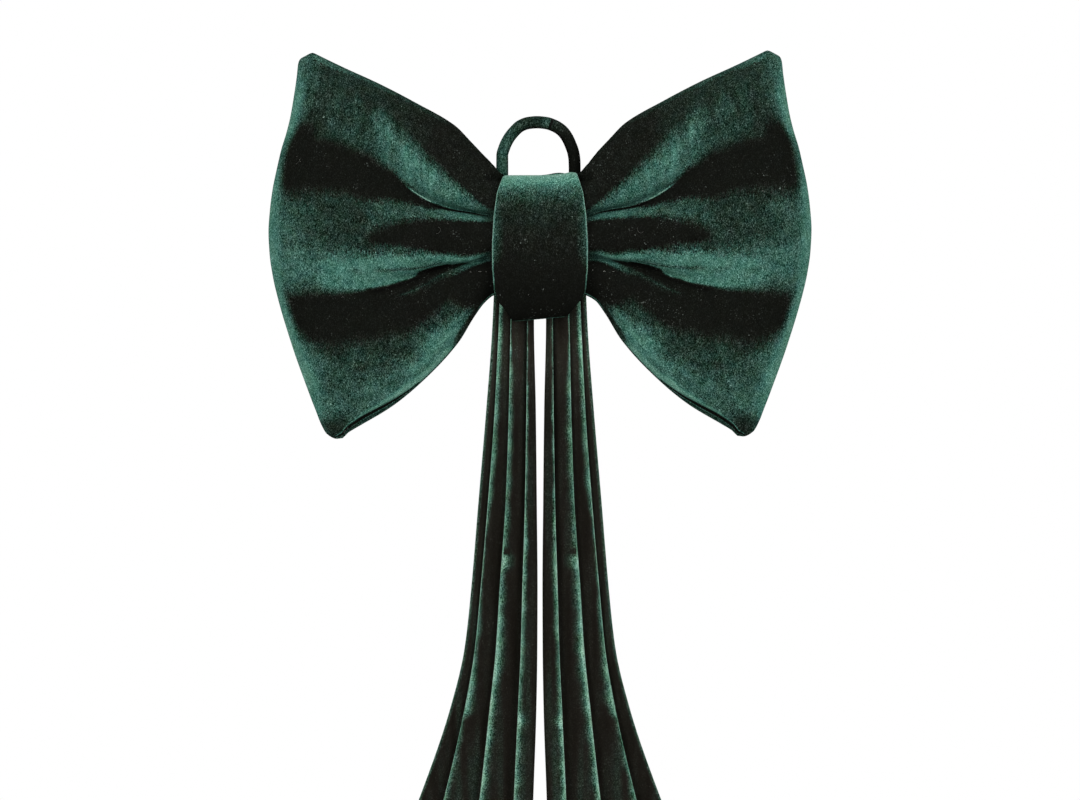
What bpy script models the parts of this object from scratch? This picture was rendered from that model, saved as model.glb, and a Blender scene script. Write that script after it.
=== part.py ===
"""A velvet bow with a hanging loop and two pleated tails.

Metres, +Z up, +X to the viewer's right, and the viewer looks along +Y.
The origin is the inside of the hanging loop's top, where a hook or nail holds the bow.
"""

import math

import bmesh
import bpy
import numpy as np

# The bow: a velvet rectangle folded along its top edge, sewn into a pillow and pinched in the middle.
BOW_Y = -0.0194  # the pillow's middle plane
KNOT_SIDE = 0.0265  # half the width that the knot band covers
KNOT_SHARE = 0.15  # the share of the way out at which the cloth leaves the band
END_START = 0.84  # where the outer end starts to round off
BACK_FLAT = 0.0125  # half the depth behind the middle, where the pinch is pressed flat
BACK_RELEASE = 0.12  # how far out of the band the back is full again
RIGHT_LIFT = 0.0013  # the right wing sits a little higher
RIGHT_LIFT_START = 0.2

SECTION_COLUMNS = (
    "share", "top", "upper_crease", "lower_crease", "bottom",
    "half_depth", "upper_drop", "lower_drop", "crease_width",
)
# A row for each section of a wing, from the middle of the bow to its outer end. The first four are
# heights (z). A drop is the share of the depth that a crease takes, and its width is a share of a roll.
SECTIONS = (
    (0.00, -0.0295, -0.0520, -0.0770, -0.1020, 0.0145, 0.42, 0.42, 0.13),
    (0.06, -0.0297, -0.0515, -0.0760, -0.1010, 0.0145, 0.45, 0.45, 0.13),
    (0.12, -0.0292, -0.0500, -0.0730, -0.0960, 0.0145, 0.55, 0.55, 0.13),
    (0.15, -0.0193, -0.0485, -0.0713, -0.0932, 0.0146, 0.62, 0.62, 0.13),
    (0.19, -0.0147, -0.0475, -0.0723, -0.0972, 0.0158, 0.64, 0.64, 0.14),
    (0.24, -0.0089, -0.0460, -0.0740, -0.1043, 0.0170, 0.64, 0.64, 0.15),
    (0.32, 0.0006, -0.0440, -0.0758, -0.1180, 0.0190, 0.60, 0.62, 0.17),
    (0.49, 0.0133, -0.0333, -0.0842, -0.1388, 0.0218, 0.48, 0.54, 0.22),
    (0.66, 0.0240, -0.0142, -0.0892, -0.1543, 0.0225, 0.34, 0.40, 0.28),
    (0.83, 0.0334, -0.0075, -0.0883, -0.1650, 0.0205, 0.20, 0.24, 0.33),
    (1.00, 0.0434, -0.0090, -0.0860, -0.1745, 0.0160, 0.08, 0.10, 0.35),
)
# The outer end's distance from the middle, from the top corner (0) down to the bottom corner (1).
END_COLUMNS = ("down", "reach")
END = (
    (0.0, 0.1317),
    (1 / 6, 0.1345),
    (1 / 3, 0.1403),
    (1 / 2, 0.1494),
    (2 / 3, 0.1462),
    (5 / 6, 0.1332),
    (1.0, 0.1190),
)
# The two outer corners are turned, which rounds them off.
CORNER_COLUMNS = ("down", "cut_x", "cut_z")
CORNERS = ((0.0, -0.0022, -0.0034), (1.0, -0.0014, 0.0034))
CORNER_REACH = 0.05
ROLLS = 3  # each wing has three rolls, with a crease between each two
SECTION_POWERS = (2.5, 2.1)  # how square a section is, at the band and at the end
CREASE_SHARPNESS = (1.2, 2.0)  # a crease is a notch at the band and a soft trough further out
CREASE_SOFTENS = 0.6
CREASE_SIDES = (0.8, 1.25)  # a crease is steeper on the roll above it
LIP = 0.0030  # how far the roll above a crease hangs over it
LIP_ENDS = (0.08, 0.32, 0.62)  # it is full by the first share out, starts to go and is gone
LIP_PLACE = -0.14  # above the crease, in rolls
LIP_WIDTH = 0.10
BACK_LIP = 0.4  # the back hangs over less
POINTS_PER_ROLL = 8
BAND_STATIONS = (0.0, 0.0090, 0.0160, 0.0203, 0.0218, 0.0233, 0.0249)  # distances from the middle
FAN_STATIONS = 13
FAN_CROWDING = 1.25  # the stations stand closer near the band
END_STATIONS = 5

# The knot: a band of folded velvet that wraps the pinch and is sewn behind it.
BAND_THICKNESS = 0.0026
BAND_GAP = 0.0005
BAND_POWER = 2.5  # how square the wrapped oval is
BAND_STATION_COUNT = 56
BAND_SLANT = 0.05  # the lower rim drops a little to the left
BAND_CLEARANCE = 0.0006  # the wings' cloth starts this far outside the band's edges
WING_SPREAD = 1.4  # how steeply the cloth swells where it leaves the band
BAND_COLUMNS = ("z", "front_half_width", "back_half_width")
# A row for each height of the band.
BAND = (
    (-0.1055, 0.0145, 0.0145),
    (-0.1020, 0.0165, 0.0165),
    (-0.0976, 0.0212, 0.0190),
    (-0.0934, 0.0249, 0.0205),
    (-0.0857, 0.0259, 0.0205),
    (-0.0686, 0.0267, 0.0205),
    (-0.0515, 0.0259, 0.0205),
    (-0.0350, 0.0236, 0.0205),
    (-0.0261, 0.0204, 0.0204),
)
# The strap's own section: across in half widths, outwards in thicknesses.
STRAP_SECTION = (
    (-0.97, 0.0), (0.97, 0.0), (1.0, 0.35), (1.0, 0.65), (0.94, 0.95),
    (0.5, 1.08), (-0.5, 1.08), (-0.94, 0.95), (-1.0, 0.65), (-1.0, 0.35),
)

# The hanging loop: a round tube of turned velvet, sewn to the back of the band.
LOOP_TUBE_RADIUS = 0.0033
LOOP_RADIUS = 0.0199  # to the middle of the tube
LOOP_X = -0.0010
LOOP_FOOT_Z = -0.0580
LOOP_ARC_STEPS = 18
LOOP_LEG_STEPS = 5

# The tails: two strips of velvet in knife pleats, sewn behind the band, with their folds turned outwards.
TAIL_THICKNESS = 0.0016
TAIL_FRONT_Y = -0.0024  # the front of the pleats where they lie on the band
TAIL_HEM_LIFT = 0.009  # the outer pleats end higher, because they swing out
TAIL_STATION_COUNT = 16
FOLD_LEAN = 0.42  # how far the cloth runs back under a fold, as a share of the fold's face
FOLD_LEAN_LIMIT = 0.0042
FOLD_COLUMNS = ("before", "after", "leans", "shift", "depth")
# A row for each corner of a fold seen from above: how far before or after the fold's edge it lies, in shares
# of the faces there, whether it leans back under the fold, its shift, and its share of the pleat's depth.
FOLD = (
    (0.16, 0.0, 0, 0.0, 0.0),
    (0.0, 0.0, 0, 0.0006, 0.02),
    (0.0, 0.0, 0, -0.0001, 0.30),
    (0.0, 0.0, 1, 0.0, 0.98),
    (0.0, 0.0, 1, 0.0026, 1.02),
    (0.0, 0.22, 0, 0.0, 0.42),
)
TAIL_EDGES = ("inner_edge", "fold_1", "fold_2", "fold_3", "outer_edge")
TAIL_COLUMNS = ("z", *TAIL_EDGES, "pleat_depth")
# A row for each height: where the edges and the folds lie, out from the middle, and how deep the pleats are.
TAIL = (
    (-0.0620, 0.0042, 0.0073, 0.0150, 0.0203, 0.0242, 0.0070),
    (-0.1080, 0.0041, 0.0072, 0.0160, 0.0220, 0.0260, 0.0080),
    (-0.1550, 0.0030, 0.0077, 0.0171, 0.0248, 0.0294, 0.0090),
    (-0.2050, 0.0024, 0.0083, 0.0188, 0.0287, 0.0336, 0.0100),
    (-0.2545, 0.0019, 0.0094, 0.0220, 0.0325, 0.0377, 0.0105),
    (-0.2876, 0.0020, 0.0105, 0.0243, 0.0358, 0.0414, 0.0110),
    (-0.3206, 0.0025, 0.0121, 0.0276, 0.0414, 0.0492, 0.0112),
    (-0.3675, 0.0042, 0.0138, 0.0331, 0.0518, 0.0649, 0.0115),
    (-0.4200, 0.0058, 0.0160, 0.0400, 0.0655, 0.0855, 0.0120),
    (-0.4800, 0.0080, 0.0185, 0.0480, 0.0800, 0.1065, 0.0120),
)

VELVET = (0.013, 0.055, 0.040, 1.0)
VELVET_ROUGHNESS = 0.85


def columns(names, rows):
    """A table's columns by name."""
    return dict(zip(names, np.array(rows, float).T))


def hermite(low, high, low_slope, high_slope, t):
    """The cubic from low to high. The slopes are over the whole step."""
    start, end = (1 + 2 * t) * (1 - t) ** 2, t * t * (3 - 2 * t)
    return low * start + high * end + low_slope * t * (1 - t) ** 2 - high_slope * t * t * (1 - t)


def smooth(at, known_at, known):
    """A smooth curve through the known values, read at the places given. It never swings past them."""
    steps = np.diff(known_at)
    rises = np.diff(known) / steps
    before, after = np.append(rises[0], rises), np.append(rises, rises[-1])
    agree = before * after > 0
    slopes = np.where(agree, 2 * before * after / np.where(agree, before + after, 1), 0)
    i = np.clip(np.searchsorted(known_at, at, side="right") - 1, 0, len(steps) - 1)
    t = (at - known_at[i]) / steps[i]
    return hermite(known[i], known[i + 1], slopes[i] * steps[i], slopes[i + 1] * steps[i], t)


def clear_scene():
    for obj in list(bpy.data.objects):
        bpy.data.objects.remove(obj, do_unlink=True)


def velvet(name):
    material = bpy.data.materials.new(name)
    material.use_nodes = True
    material.diffuse_color = VELVET
    shader = material.node_tree.nodes["Principled BSDF"]
    shader.inputs["Base Color"].default_value = VELVET
    shader.inputs["Roughness"].default_value = VELVET_ROUGHNESS
    shader.inputs["Metallic"].default_value = 0.0
    return material


def add_object(name, data, collection):
    obj = bpy.data.objects.new(name, data)
    collection.objects.link(obj)
    data.materials.append(velvet(name + "_velvet"))
    return obj


def skin(name, rows, collection, closed_rows, closed_ends):
    """A surface skinned over rows of points. Closed rows are rings, and closed ends join the last to the first."""
    bm = bmesh.new()
    made = [[bm.verts.new(point) for point in row] for row in rows]
    followers = made[1:] + made[:1] if closed_ends else made[1:]
    for row, following in zip(made, followers):
        for i in range(len(row) if closed_rows else len(row) - 1):
            j = (i + 1) % len(row)
            bm.faces.new((row[i], row[j], following[j], following[i]))
    bmesh.ops.remove_doubles(bm, verts=bm.verts, dist=1e-6)
    bmesh.ops.recalc_face_normals(bm, faces=bm.faces)
    mesh = bpy.data.meshes.new(name)
    bm.to_mesh(mesh)
    bm.free()
    mesh.shade_smooth()
    return add_object(name, mesh, collection)


def wing_heights(share, down):
    """The height of the cloth, smooth through the top edge, the two creases and the bottom edge."""
    table = columns(SECTION_COLUMNS, SECTIONS)
    guides = np.array([smooth(share, table["share"], table[guide]) for guide in SECTION_COLUMNS[1:5]])
    slopes = np.gradient(guides, axis=0)
    i = np.clip((down * ROLLS).astype(int), 0, ROLLS - 1)
    point = np.arange(len(down))
    below = i + 1
    return hermite(
        guides[i, point], guides[below, point], slopes[i, point], slopes[below, point], down * ROLLS - i
    )


def band_room(z):
    """Half the depth inside the band at each height, and none above or below it."""
    table = columns(SECTION_COLUMNS, SECTIONS)
    top, bottom, half_depth = (table[name][0] for name in ("top", "bottom", "half_depth"))
    level = np.abs(z - (top + bottom) / 2) / ((top - bottom) / 2)
    return half_depth * np.clip(1 - level**BAND_POWER, 0, 1) ** (1 / BAND_POWER)


def wing_creases(share, out, down):
    """The share of the depth that the creases take, and how far the rolls above them hang over."""
    table = columns(SECTION_COLUMNS, SECTIONS)
    width = smooth(share, table["share"], table["crease_width"])
    sharp, soft = CREASE_SHARPNESS
    power = sharp + (soft - sharp) * np.clip(out / CREASE_SOFTENS, 0, 1)
    full, fades, gone = LIP_ENDS
    hangs = np.clip(out / full, 0, 1) * np.clip((gone - out) / (gone - fades), 0, 1)
    drop, lip = 0, 0
    for crease, name in ((1, "upper_drop"), (2, "lower_drop")):
        away = down * ROLLS - crease
        reach = width * np.where(away < 0, *CREASE_SIDES)
        drop = drop + smooth(share, table["share"], table[name]) * np.exp(-(np.abs(away / reach) ** power))
        lip = lip + hangs * np.exp(-(((away - LIP_PLACE) / LIP_WIDTH) ** 2))
    return drop, LIP * lip


def wing_points(side, share, down, face):
    """Points of one wing. side is 1 on the right and -1 on the left, face -1 at the front and 1 at the back."""
    table = columns(SECTION_COLUMNS, SECTIONS)
    end = columns(END_COLUMNS, END)
    out = np.clip((share - KNOT_SHARE) / (1 - KNOT_SHARE), 0, 1)
    x = KNOT_SIDE * np.clip(share / KNOT_SHARE, 0, 1)
    x = x + (smooth(down, end["down"], end["reach"]) - KNOT_SIDE) * out
    z = wing_heights(share, down)
    for corner, cut_x, cut_z in CORNERS:
        near = np.exp(-((1 - share) + np.abs(down - corner)) / CORNER_REACH)
        x = x + cut_x * near
        z = z + cut_z * near

    inner_power, outer_power = SECTION_POWERS
    power = inner_power + (outer_power - inner_power) * out
    crown = (1 - np.abs(2 * down - 1) ** power) ** (1 / power)
    rounding = np.sqrt(1 - np.clip((share - END_START) / (1 - END_START), 0, 1) ** 2)
    drop, lip = wing_creases(share, out, down)
    depth = smooth(share, table["share"], table["half_depth"]) * crown * rounding * (1 - drop)
    if face > 0:
        depth = np.minimum(depth, BACK_FLAT + (depth.max() - BACK_FLAT) * np.clip(out / BACK_RELEASE, 0, 1))
        lip = lip * BACK_LIP
    z = z - lip * (1 - np.abs(2 * down - 1) ** 8)

    # Inside the band the cloth keeps to the band's oval, and it swells out from the band's edges.
    band = columns(BAND_COLUMNS, BAND)
    cover = np.interp(z, band["z"], band["front_half_width" if face < 0 else "back_half_width"])
    depth = np.minimum(depth, band_room(z) + WING_SPREAD * np.clip(x - cover - BAND_CLEARANCE, 0, None))
    if side > 0:
        z = z + RIGHT_LIFT * np.clip(out / RIGHT_LIFT_START, 0, 1)
    return np.stack([side * x, BOW_Y + face * depth, z], axis=1)


def make_bow(collection):
    band = np.array(BAND_STATIONS) * KNOT_SHARE / KNOT_SIDE
    fan_steps = np.linspace(0, 1, FAN_STATIONS, endpoint=False) ** FAN_CROWDING
    end_steps = np.sin(np.linspace(0, math.pi / 2, END_STATIONS + 1))
    fan = KNOT_SHARE + (END_START - KNOT_SHARE) * fan_steps
    shares = np.concatenate([band, fan, END_START + (1 - END_START) * end_steps])
    # The points of a section stand closer at the creases and the edges.
    in_roll = (1 - np.cos(math.pi * np.arange(POINTS_PER_ROLL) / POINTS_PER_ROLL)) / 2
    down = np.append((np.arange(ROLLS)[:, None] + in_roll).ravel() / ROLLS, 1.0)
    rings = []
    for side, places in ((-1, shares[::-1]), (1, shares[1:])):
        for share in places:
            level = np.full(len(down), share)
            front = wing_points(side, level, down, -1)
            back = wing_points(side, level, down, 1)
            rings.append(np.concatenate([front, back[-2:0:-1]]))
    return skin("bow", rings, collection, closed_rows=True, closed_ends=False)


def make_band(collection):
    table = columns(SECTION_COLUMNS, SECTIONS)
    widths = columns(BAND_COLUMNS, BAND)
    top, bottom, half_depth = (table[name][0] for name in ("top", "bottom", "half_depth"))
    across, up = half_depth + BAND_GAP, (top - bottom) / 2 + BAND_GAP
    flat = BACK_FLAT + BAND_GAP
    rings = []
    for turn in (np.arange(BAND_STATION_COUNT) + 0.5) / BAND_STATION_COUNT:
        sine, cosine = math.sin(2 * math.pi * turn), math.cos(2 * math.pi * turn)
        y = -across * math.copysign(abs(sine) ** (2 / BAND_POWER), sine)
        z = up * math.copysign(abs(cosine) ** (2 / BAND_POWER), cosine)
        outwards = np.array([
            math.copysign(abs(y / across) ** (BAND_POWER - 1) / across, y),
            math.copysign(abs(z / up) ** (BAND_POWER - 1) / up, z),
        ])
        if y > flat:
            y, outwards = flat, np.array([1.0, 0.0])
        outwards = outwards * BAND_THICKNESS / np.linalg.norm(outwards)
        middle_z = (top + bottom) / 2 + z
        front = min(1.0, max(0.0, 0.5 - y / across))
        back_half, front_half = (
            float(np.interp(middle_z + outwards[1], widths["z"], widths[name]))
            for name in ("back_half_width", "front_half_width")
        )
        half_width = back_half + (front_half - back_half) * front
        ring = []
        for share, push in STRAP_SECTION:
            x = share * half_width
            slant = BAND_SLANT * x * max(0.0, -cosine) ** 4
            ring.append((x, BOW_Y + y + push * outwards[0], middle_z + push * outwards[1] + slant))
        rings.append(ring)
    return skin("knot_band", rings, collection, closed_rows=True, closed_ends=True)


def make_loop(collection):
    centre_z = -(LOOP_RADIUS - LOOP_TUBE_RADIUS)
    leg = np.linspace(LOOP_FOOT_Z, centre_z, LOOP_LEG_STEPS, endpoint=False)
    arc = np.linspace(math.pi, 0, LOOP_ARC_STEPS + 1)
    route = [(LOOP_X - LOOP_RADIUS, z) for z in leg]
    route += [(LOOP_X + LOOP_RADIUS * math.cos(a), centre_z + LOOP_RADIUS * math.sin(a)) for a in arc]
    route += [(LOOP_X + LOOP_RADIUS, z) for z in leg[::-1]]
    curve = bpy.data.curves.new("hanging_loop", "CURVE")
    curve.dimensions = "3D"
    curve.bevel_depth = LOOP_TUBE_RADIUS
    curve.bevel_resolution = 3
    curve.use_fill_caps = True
    spline = curve.splines.new("POLY")
    spline.points.add(len(route) - 1)
    for point, (x, z) in zip(spline.points, route):
        point.co = (x, 0.0, z, 1.0)
    return add_object("hanging_loop", curve, collection)


def tail_section(edges, depth):
    """The pleats seen from above: out from the middle and back from the front, with their corners cut once."""
    inner, folds, outer = edges[0], edges[1:-1], edges[-1]
    corners = [(inner, 0.34 * depth), (0.5 * (inner + folds[0]), 0.16 * depth)]
    for number, fold in enumerate(folds):
        face, following = fold - edges[number], edges[number + 2] - fold
        lean = min(FOLD_LEAN * face, FOLD_LEAN_LIMIT)
        for before, after, leans, shift, back in FOLD:
            corners.append((fold - before * face + after * following - leans * lean + shift, back * depth))
    corners += [(outer - 0.0012, 0.04 * depth), (outer, 0.10 * depth)]
    line = np.array(corners)
    cut = np.stack([0.75 * line[:-1] + 0.25 * line[1:], 0.25 * line[:-1] + 0.75 * line[1:]], axis=1)
    return np.concatenate([line[:1], cut.reshape(-1, 2)[1:-1], line[-1:]])


def make_tail(name, side, collection):
    table = columns(TAIL_COLUMNS, TAIL[::-1])
    top, hem, top_depth, widest = TAIL[0][0], TAIL[-1][0], TAIL[0][-1], TAIL[-1][-2]
    rows = []
    for z in np.linspace(top, hem, TAIL_STATION_COUNT):
        at = np.array([z])
        edges = [float(smooth(at, table["z"], table[edge])[0]) for edge in TAIL_EDGES]
        depth = float(smooth(at, table["z"], table["pleat_depth"])[0])
        line = tail_section(edges, depth)
        lift = TAIL_HEM_LIFT * ((z - top) / (hem - top)) ** 3 * (line[:, 0] / widest) ** 2
        front = TAIL_FRONT_Y - 0.5 * (depth - top_depth)
        rows.append(np.stack([side * line[:, 0], front + line[:, 1], z + lift], axis=1))
    tail = skin(name, rows, collection, closed_rows=False, closed_ends=False)
    cloth = tail.modifiers.new("cloth", "SOLIDIFY")
    cloth.thickness = TAIL_THICKNESS
    cloth.offset = 0.0
    cloth.use_even_offset = True
    return tail


def main():
    clear_scene()
    collection = bpy.data.collections.new("velvet_bow")
    bpy.context.scene.collection.children.link(collection)
    make_bow(collection)
    make_band(collection)
    make_loop(collection)
    make_tail("tail_left", -1, collection)
    make_tail("tail_right", 1, collection)


main()
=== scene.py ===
"""A velvet bow with a hanging loop and two pleated tails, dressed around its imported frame."""

import math

import bmesh
import bpy
import numpy as np
from mathutils import Matrix, Vector


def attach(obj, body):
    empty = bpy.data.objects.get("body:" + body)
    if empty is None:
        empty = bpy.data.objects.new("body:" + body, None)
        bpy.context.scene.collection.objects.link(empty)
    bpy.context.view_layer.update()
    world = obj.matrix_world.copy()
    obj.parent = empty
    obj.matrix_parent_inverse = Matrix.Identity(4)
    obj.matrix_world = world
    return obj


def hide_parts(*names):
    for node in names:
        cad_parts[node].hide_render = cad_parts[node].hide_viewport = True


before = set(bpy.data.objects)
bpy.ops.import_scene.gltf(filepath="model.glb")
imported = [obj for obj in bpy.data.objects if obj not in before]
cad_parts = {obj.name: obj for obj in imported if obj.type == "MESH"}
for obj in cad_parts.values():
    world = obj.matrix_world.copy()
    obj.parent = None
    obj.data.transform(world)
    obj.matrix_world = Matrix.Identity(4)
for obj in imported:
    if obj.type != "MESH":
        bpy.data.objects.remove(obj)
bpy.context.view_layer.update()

# ---------------------------------------------------------------------------------------------
# The bow's body: a velvet rectangle folded along its top edge, seamed along its lower edge, lightly
# filled and pinched in the middle, so that each wing opens out in three rolls with a crease
# between each two. Both wings are one piece, and the knot's band holds them.
# ---------------------------------------------------------------------------------------------
BOW_Y = -0.0194
KNOT_SIDE = 0.0265
KNOT_SHARE = 0.15
END_START = 0.84
BACK_FLAT = 0.0125  # how far the back stands out beside the knot
BACK_RELEASE = 0.12
RIGHT_LIFT = 0.0013  # the right wing sits a little higher
RIGHT_LIFT_START = 0.05
SECTION_COLUMNS = (
    "share", "top", "upper_crease", "lower_crease", "bottom",
    "half_depth", "upper_drop", "lower_drop", "crease_width",
)
# A row for each section of a wing, from the middle of the bow to its outer end.
SECTIONS = (
    (0.00, -0.0295, -0.0520, -0.0770, -0.1020, 0.0145, 0.42, 0.42, 0.13),
    (0.06, -0.0296, -0.0515, -0.0760, -0.1010, 0.0145, 0.45, 0.45, 0.13),
    (0.12, -0.0252, -0.0500, -0.0730, -0.0908, 0.0145, 0.55, 0.55, 0.13),
    (0.15, -0.0197, -0.0485, -0.0713, -0.0928, 0.0146, 0.62, 0.62, 0.13),
    (0.19, -0.0147, -0.0475, -0.0723, -0.0967, 0.0158, 0.64, 0.64, 0.14),
    (0.24, -0.0083, -0.0460, -0.0740, -0.1041, 0.0170, 0.64, 0.64, 0.15),
    (0.32, 0.0014, -0.0440, -0.0758, -0.1180, 0.0190, 0.60, 0.62, 0.17),
    (0.49, 0.0133, -0.0333, -0.0842, -0.1379, 0.0218, 0.48, 0.54, 0.22),
    (0.66, 0.0240, -0.0142, -0.0892, -0.1531, 0.0225, 0.34, 0.40, 0.28),
    (0.83, 0.0334, -0.0075, -0.0883, -0.1640, 0.0205, 0.20, 0.24, 0.33),
    (1.00, 0.0434, -0.0090, -0.0860, -0.1745, 0.0160, 0.08, 0.10, 0.35),
)
END_COLUMNS = ("down", "reach")
END = (
    (0.0, 0.1292), (0.015, 0.1311), (0.03, 0.132), (0.06, 0.133), (0.1, 0.1336), (0.2, 0.1358),
    (0.25, 0.1372), (0.3, 0.1393), (0.35, 0.1422), (0.4, 0.1446), (0.45, 0.1469), (0.5, 0.1484),
    (0.55, 0.1492), (0.6, 0.1486), (0.65, 0.1468), (0.7, 0.1439), (0.8, 0.136), (0.9, 0.1263),
    (0.95, 0.1212), (1.0, 0.1175),
)
# The corners are cut off a little: which, down; how far in, in share; how high the cut is.
CORNERS = ((0.0, 0.040, -0.0045), (1.0, 0.058, 0.0065))
CORNER_REACH = 0.055
CORNER_POWER = 1.4
FOOT = (0.914, 0.018, 0.93, -0.0014)  # the lower corner's foot: share, reach, down from where, drop
ROLLS = 3
SECTION_POWERS = (2.5, 2.1)
CREASE_SHARPNESS = (1.2, 2.0)
CREASE_SOFTENS = 0.6
CREASE_SIDES = (0.8, 1.25)
LIP = 0.0030
LIP_ENDS = (0.08, 0.32, 0.62)
LIP_PLACE = -0.14
LIP_WIDTH = 0.10
LIP_EDGE_POWER = 8  # how suddenly the lips end at the top and lower edges
BACK_LIP = 0.4
BAND_POWER = 2.5
BAND_CLEARANCE = 0.0006
WING_SPREAD = 1.4
BAND_COLUMNS = ("z", "front_half_width", "back_half_width")
BAND = (
    (-0.1055, 0.0158, 0.015), (-0.1035, 0.0168, 0.0163), (-0.1, 0.0193, 0.0185),
    (-0.0965, 0.0222, 0.0195), (-0.093, 0.0243, 0.0205), (-0.09, 0.0251, 0.0205),
    (-0.0774, 0.0261, 0.0205), (-0.0646, 0.0262, 0.0205), (-0.0487, 0.0253, 0.0205),
    (-0.036, 0.0236, 0.0205), (-0.0261, 0.0206, 0.0205),
)
# Where the sections lie inside the band, in metres from the middle.
BAND_STATIONS = (
    0.0, 0.006, 0.012, 0.017, 0.0195, 0.0206, 0.0214, 0.0222, 0.023, 0.0238, 0.0246, 0.0254, 0.026,
)
FAN_STATIONS = 90
FAN_CROWDING = 1.2
END_STATIONS = 16
FRONT_POINTS = 60  # in each roll
BACK_POINTS = 20
# The seam along the lower edge: the front panel ends above the back panel's edge, and a groove
# lies between them.
SEAM_COLUMNS = ("out", "rise")
SEAM = (
    (0.0, 0.001), (0.4, 0.001), (0.46, 0.0014), (0.55, 0.0024), (0.64, 0.0033), (0.75, 0.0037),
    (0.85, 0.003), (0.91, 0.002), (0.95, 0.001), (1.0, 0.001),
)
SEAM_ENDS = (0.40, 0.48, 0.91, 0.95)  # the share out where it begins, is whole, fades and ends
SEAM_EDGE = 0.42  # how thick the back panel's edge is, in rises
SEAM_LEDGE = (0.95, 1.25)  # from where to where the front panel's end stands out, in rises
# The rows of points above the lower edge, in rises.
SEAM_ROWS = (
    3.0, 2.2, 1.8, 1.5, 1.35, 1.25, 1.18, 1.12, 1.06, 1.02, 0.98, 0.9, 0.8, 0.7, 0.6, 0.5, 0.42, 0.35, 0.2,
    0.1, 0.0,
)
WAVE_SPREAD, WAVE_SIZE = (0.7, 1.6), 0.6


def columns(names, rows):
    """A table's columns by name."""
    return dict(zip(names, np.array(rows, float).T))


def hermite(low, high, low_slope, high_slope, t):
    """The cubic from low to high. The slopes are over the whole step."""
    start, end = (1 + 2 * t) * (1 - t) ** 2, t * t * (3 - 2 * t)
    return low * start + high * end + low_slope * t * (1 - t) ** 2 - high_slope * t * t * (1 - t)


def smooth(at, known_at, known):
    """A smooth curve through the known values, read at the places given. It never swings past them."""
    at = np.clip(at, known_at[0], known_at[-1])
    steps = np.diff(known_at)
    rises = np.diff(known) / steps
    before, after = np.append(rises[0], rises), np.append(rises, rises[-1])
    agree = before * after > 0
    slopes = np.where(agree, 2 * before * after / np.where(agree, before + after, 1), 0)
    i = np.clip(np.searchsorted(known_at, at, side="right") - 1, 0, len(steps) - 1)
    t = (at - known_at[i]) / steps[i]
    return hermite(known[i], known[i + 1], slopes[i] * steps[i], slopes[i + 1] * steps[i], t)


def step(value, start, end):
    """0 before start, 1 past end, smooth between them. It falls where start is the larger."""
    t = np.clip((value - start) / (end - start), 0, 1)
    return t * t * (3 - 2 * t)


def between(value, begins, whole, fades, ends):
    """1 from whole to fades, and 0 before it begins and past where it ends."""
    return step(value, begins, whole) * step(value, ends, fades)


def near(value, place, reach, power=2):
    """1 at the place, and fading out beside it."""
    return np.exp(-(((value - place) / reach) ** power))


def towards(values, level, share):
    """The values, moved this share of the way to the level."""
    return values + (level - values) * share


def raised(values, level, share):
    """The same, where they lie below the level."""
    return values + np.clip(level - values, 0, None) * share


def out_past_knot(share):
    """How far a section lies out of the knot: 0 at its side, 1 at the wing's end."""
    return np.clip((share - KNOT_SHARE) / (1 - KNOT_SHARE), 0, 1)


def waves(points, length, seed, count=24):
    """A smooth uneven field over points, from about -1 to 1, made of plane waves about that long."""
    rng = np.random.default_rng(seed)
    ways = rng.normal(size=(count, 3))
    ways = ways / np.linalg.norm(ways, axis=1)[:, None]
    reaches = 2 * math.pi / (length * rng.uniform(*WAVE_SPREAD, count))
    phases = rng.uniform(0, 2 * math.pi, count)
    summed = np.sin(points @ (ways * reaches[:, None]).T + phases).sum(1)
    return summed * math.sqrt(2 / count) * WAVE_SIZE


SECTION = columns(SECTION_COLUMNS, SECTIONS)
PINCH_TOP, PINCH_BOTTOM, PINCH_DEPTH = (SECTION[name][0] for name in ("top", "bottom", "half_depth"))


def wing_heights(share, down):
    """The height of each point. The guides are the section's top, its creases and its bottom."""
    guides = np.array([smooth(share, SECTION["share"], SECTION[guide]) for guide in SECTION_COLUMNS[1:5]])
    slopes = np.gradient(guides, axis=0)
    roll = np.clip((down * ROLLS).astype(int), 0, ROLLS - 1)
    above, below = (roll, np.arange(len(down))), (roll + 1, np.arange(len(down)))
    return hermite(guides[above], guides[below], slopes[above], slopes[below], down * ROLLS - roll)


def seam_rise(share):
    """How far the front panel ends above the lower edge."""
    seam = columns(SEAM_COLUMNS, SEAM)
    return smooth(out_past_knot(share), seam["out"], seam["rise"])


def band_room(z):
    """Half the depth inside the band at each height, and none above or below it."""
    level = np.abs(z - (PINCH_TOP + PINCH_BOTTOM) / 2) / ((PINCH_TOP - PINCH_BOTTOM) / 2)
    return PINCH_DEPTH * np.clip(1 - level**BAND_POWER, 0, 1) ** (1 / BAND_POWER)


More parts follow.
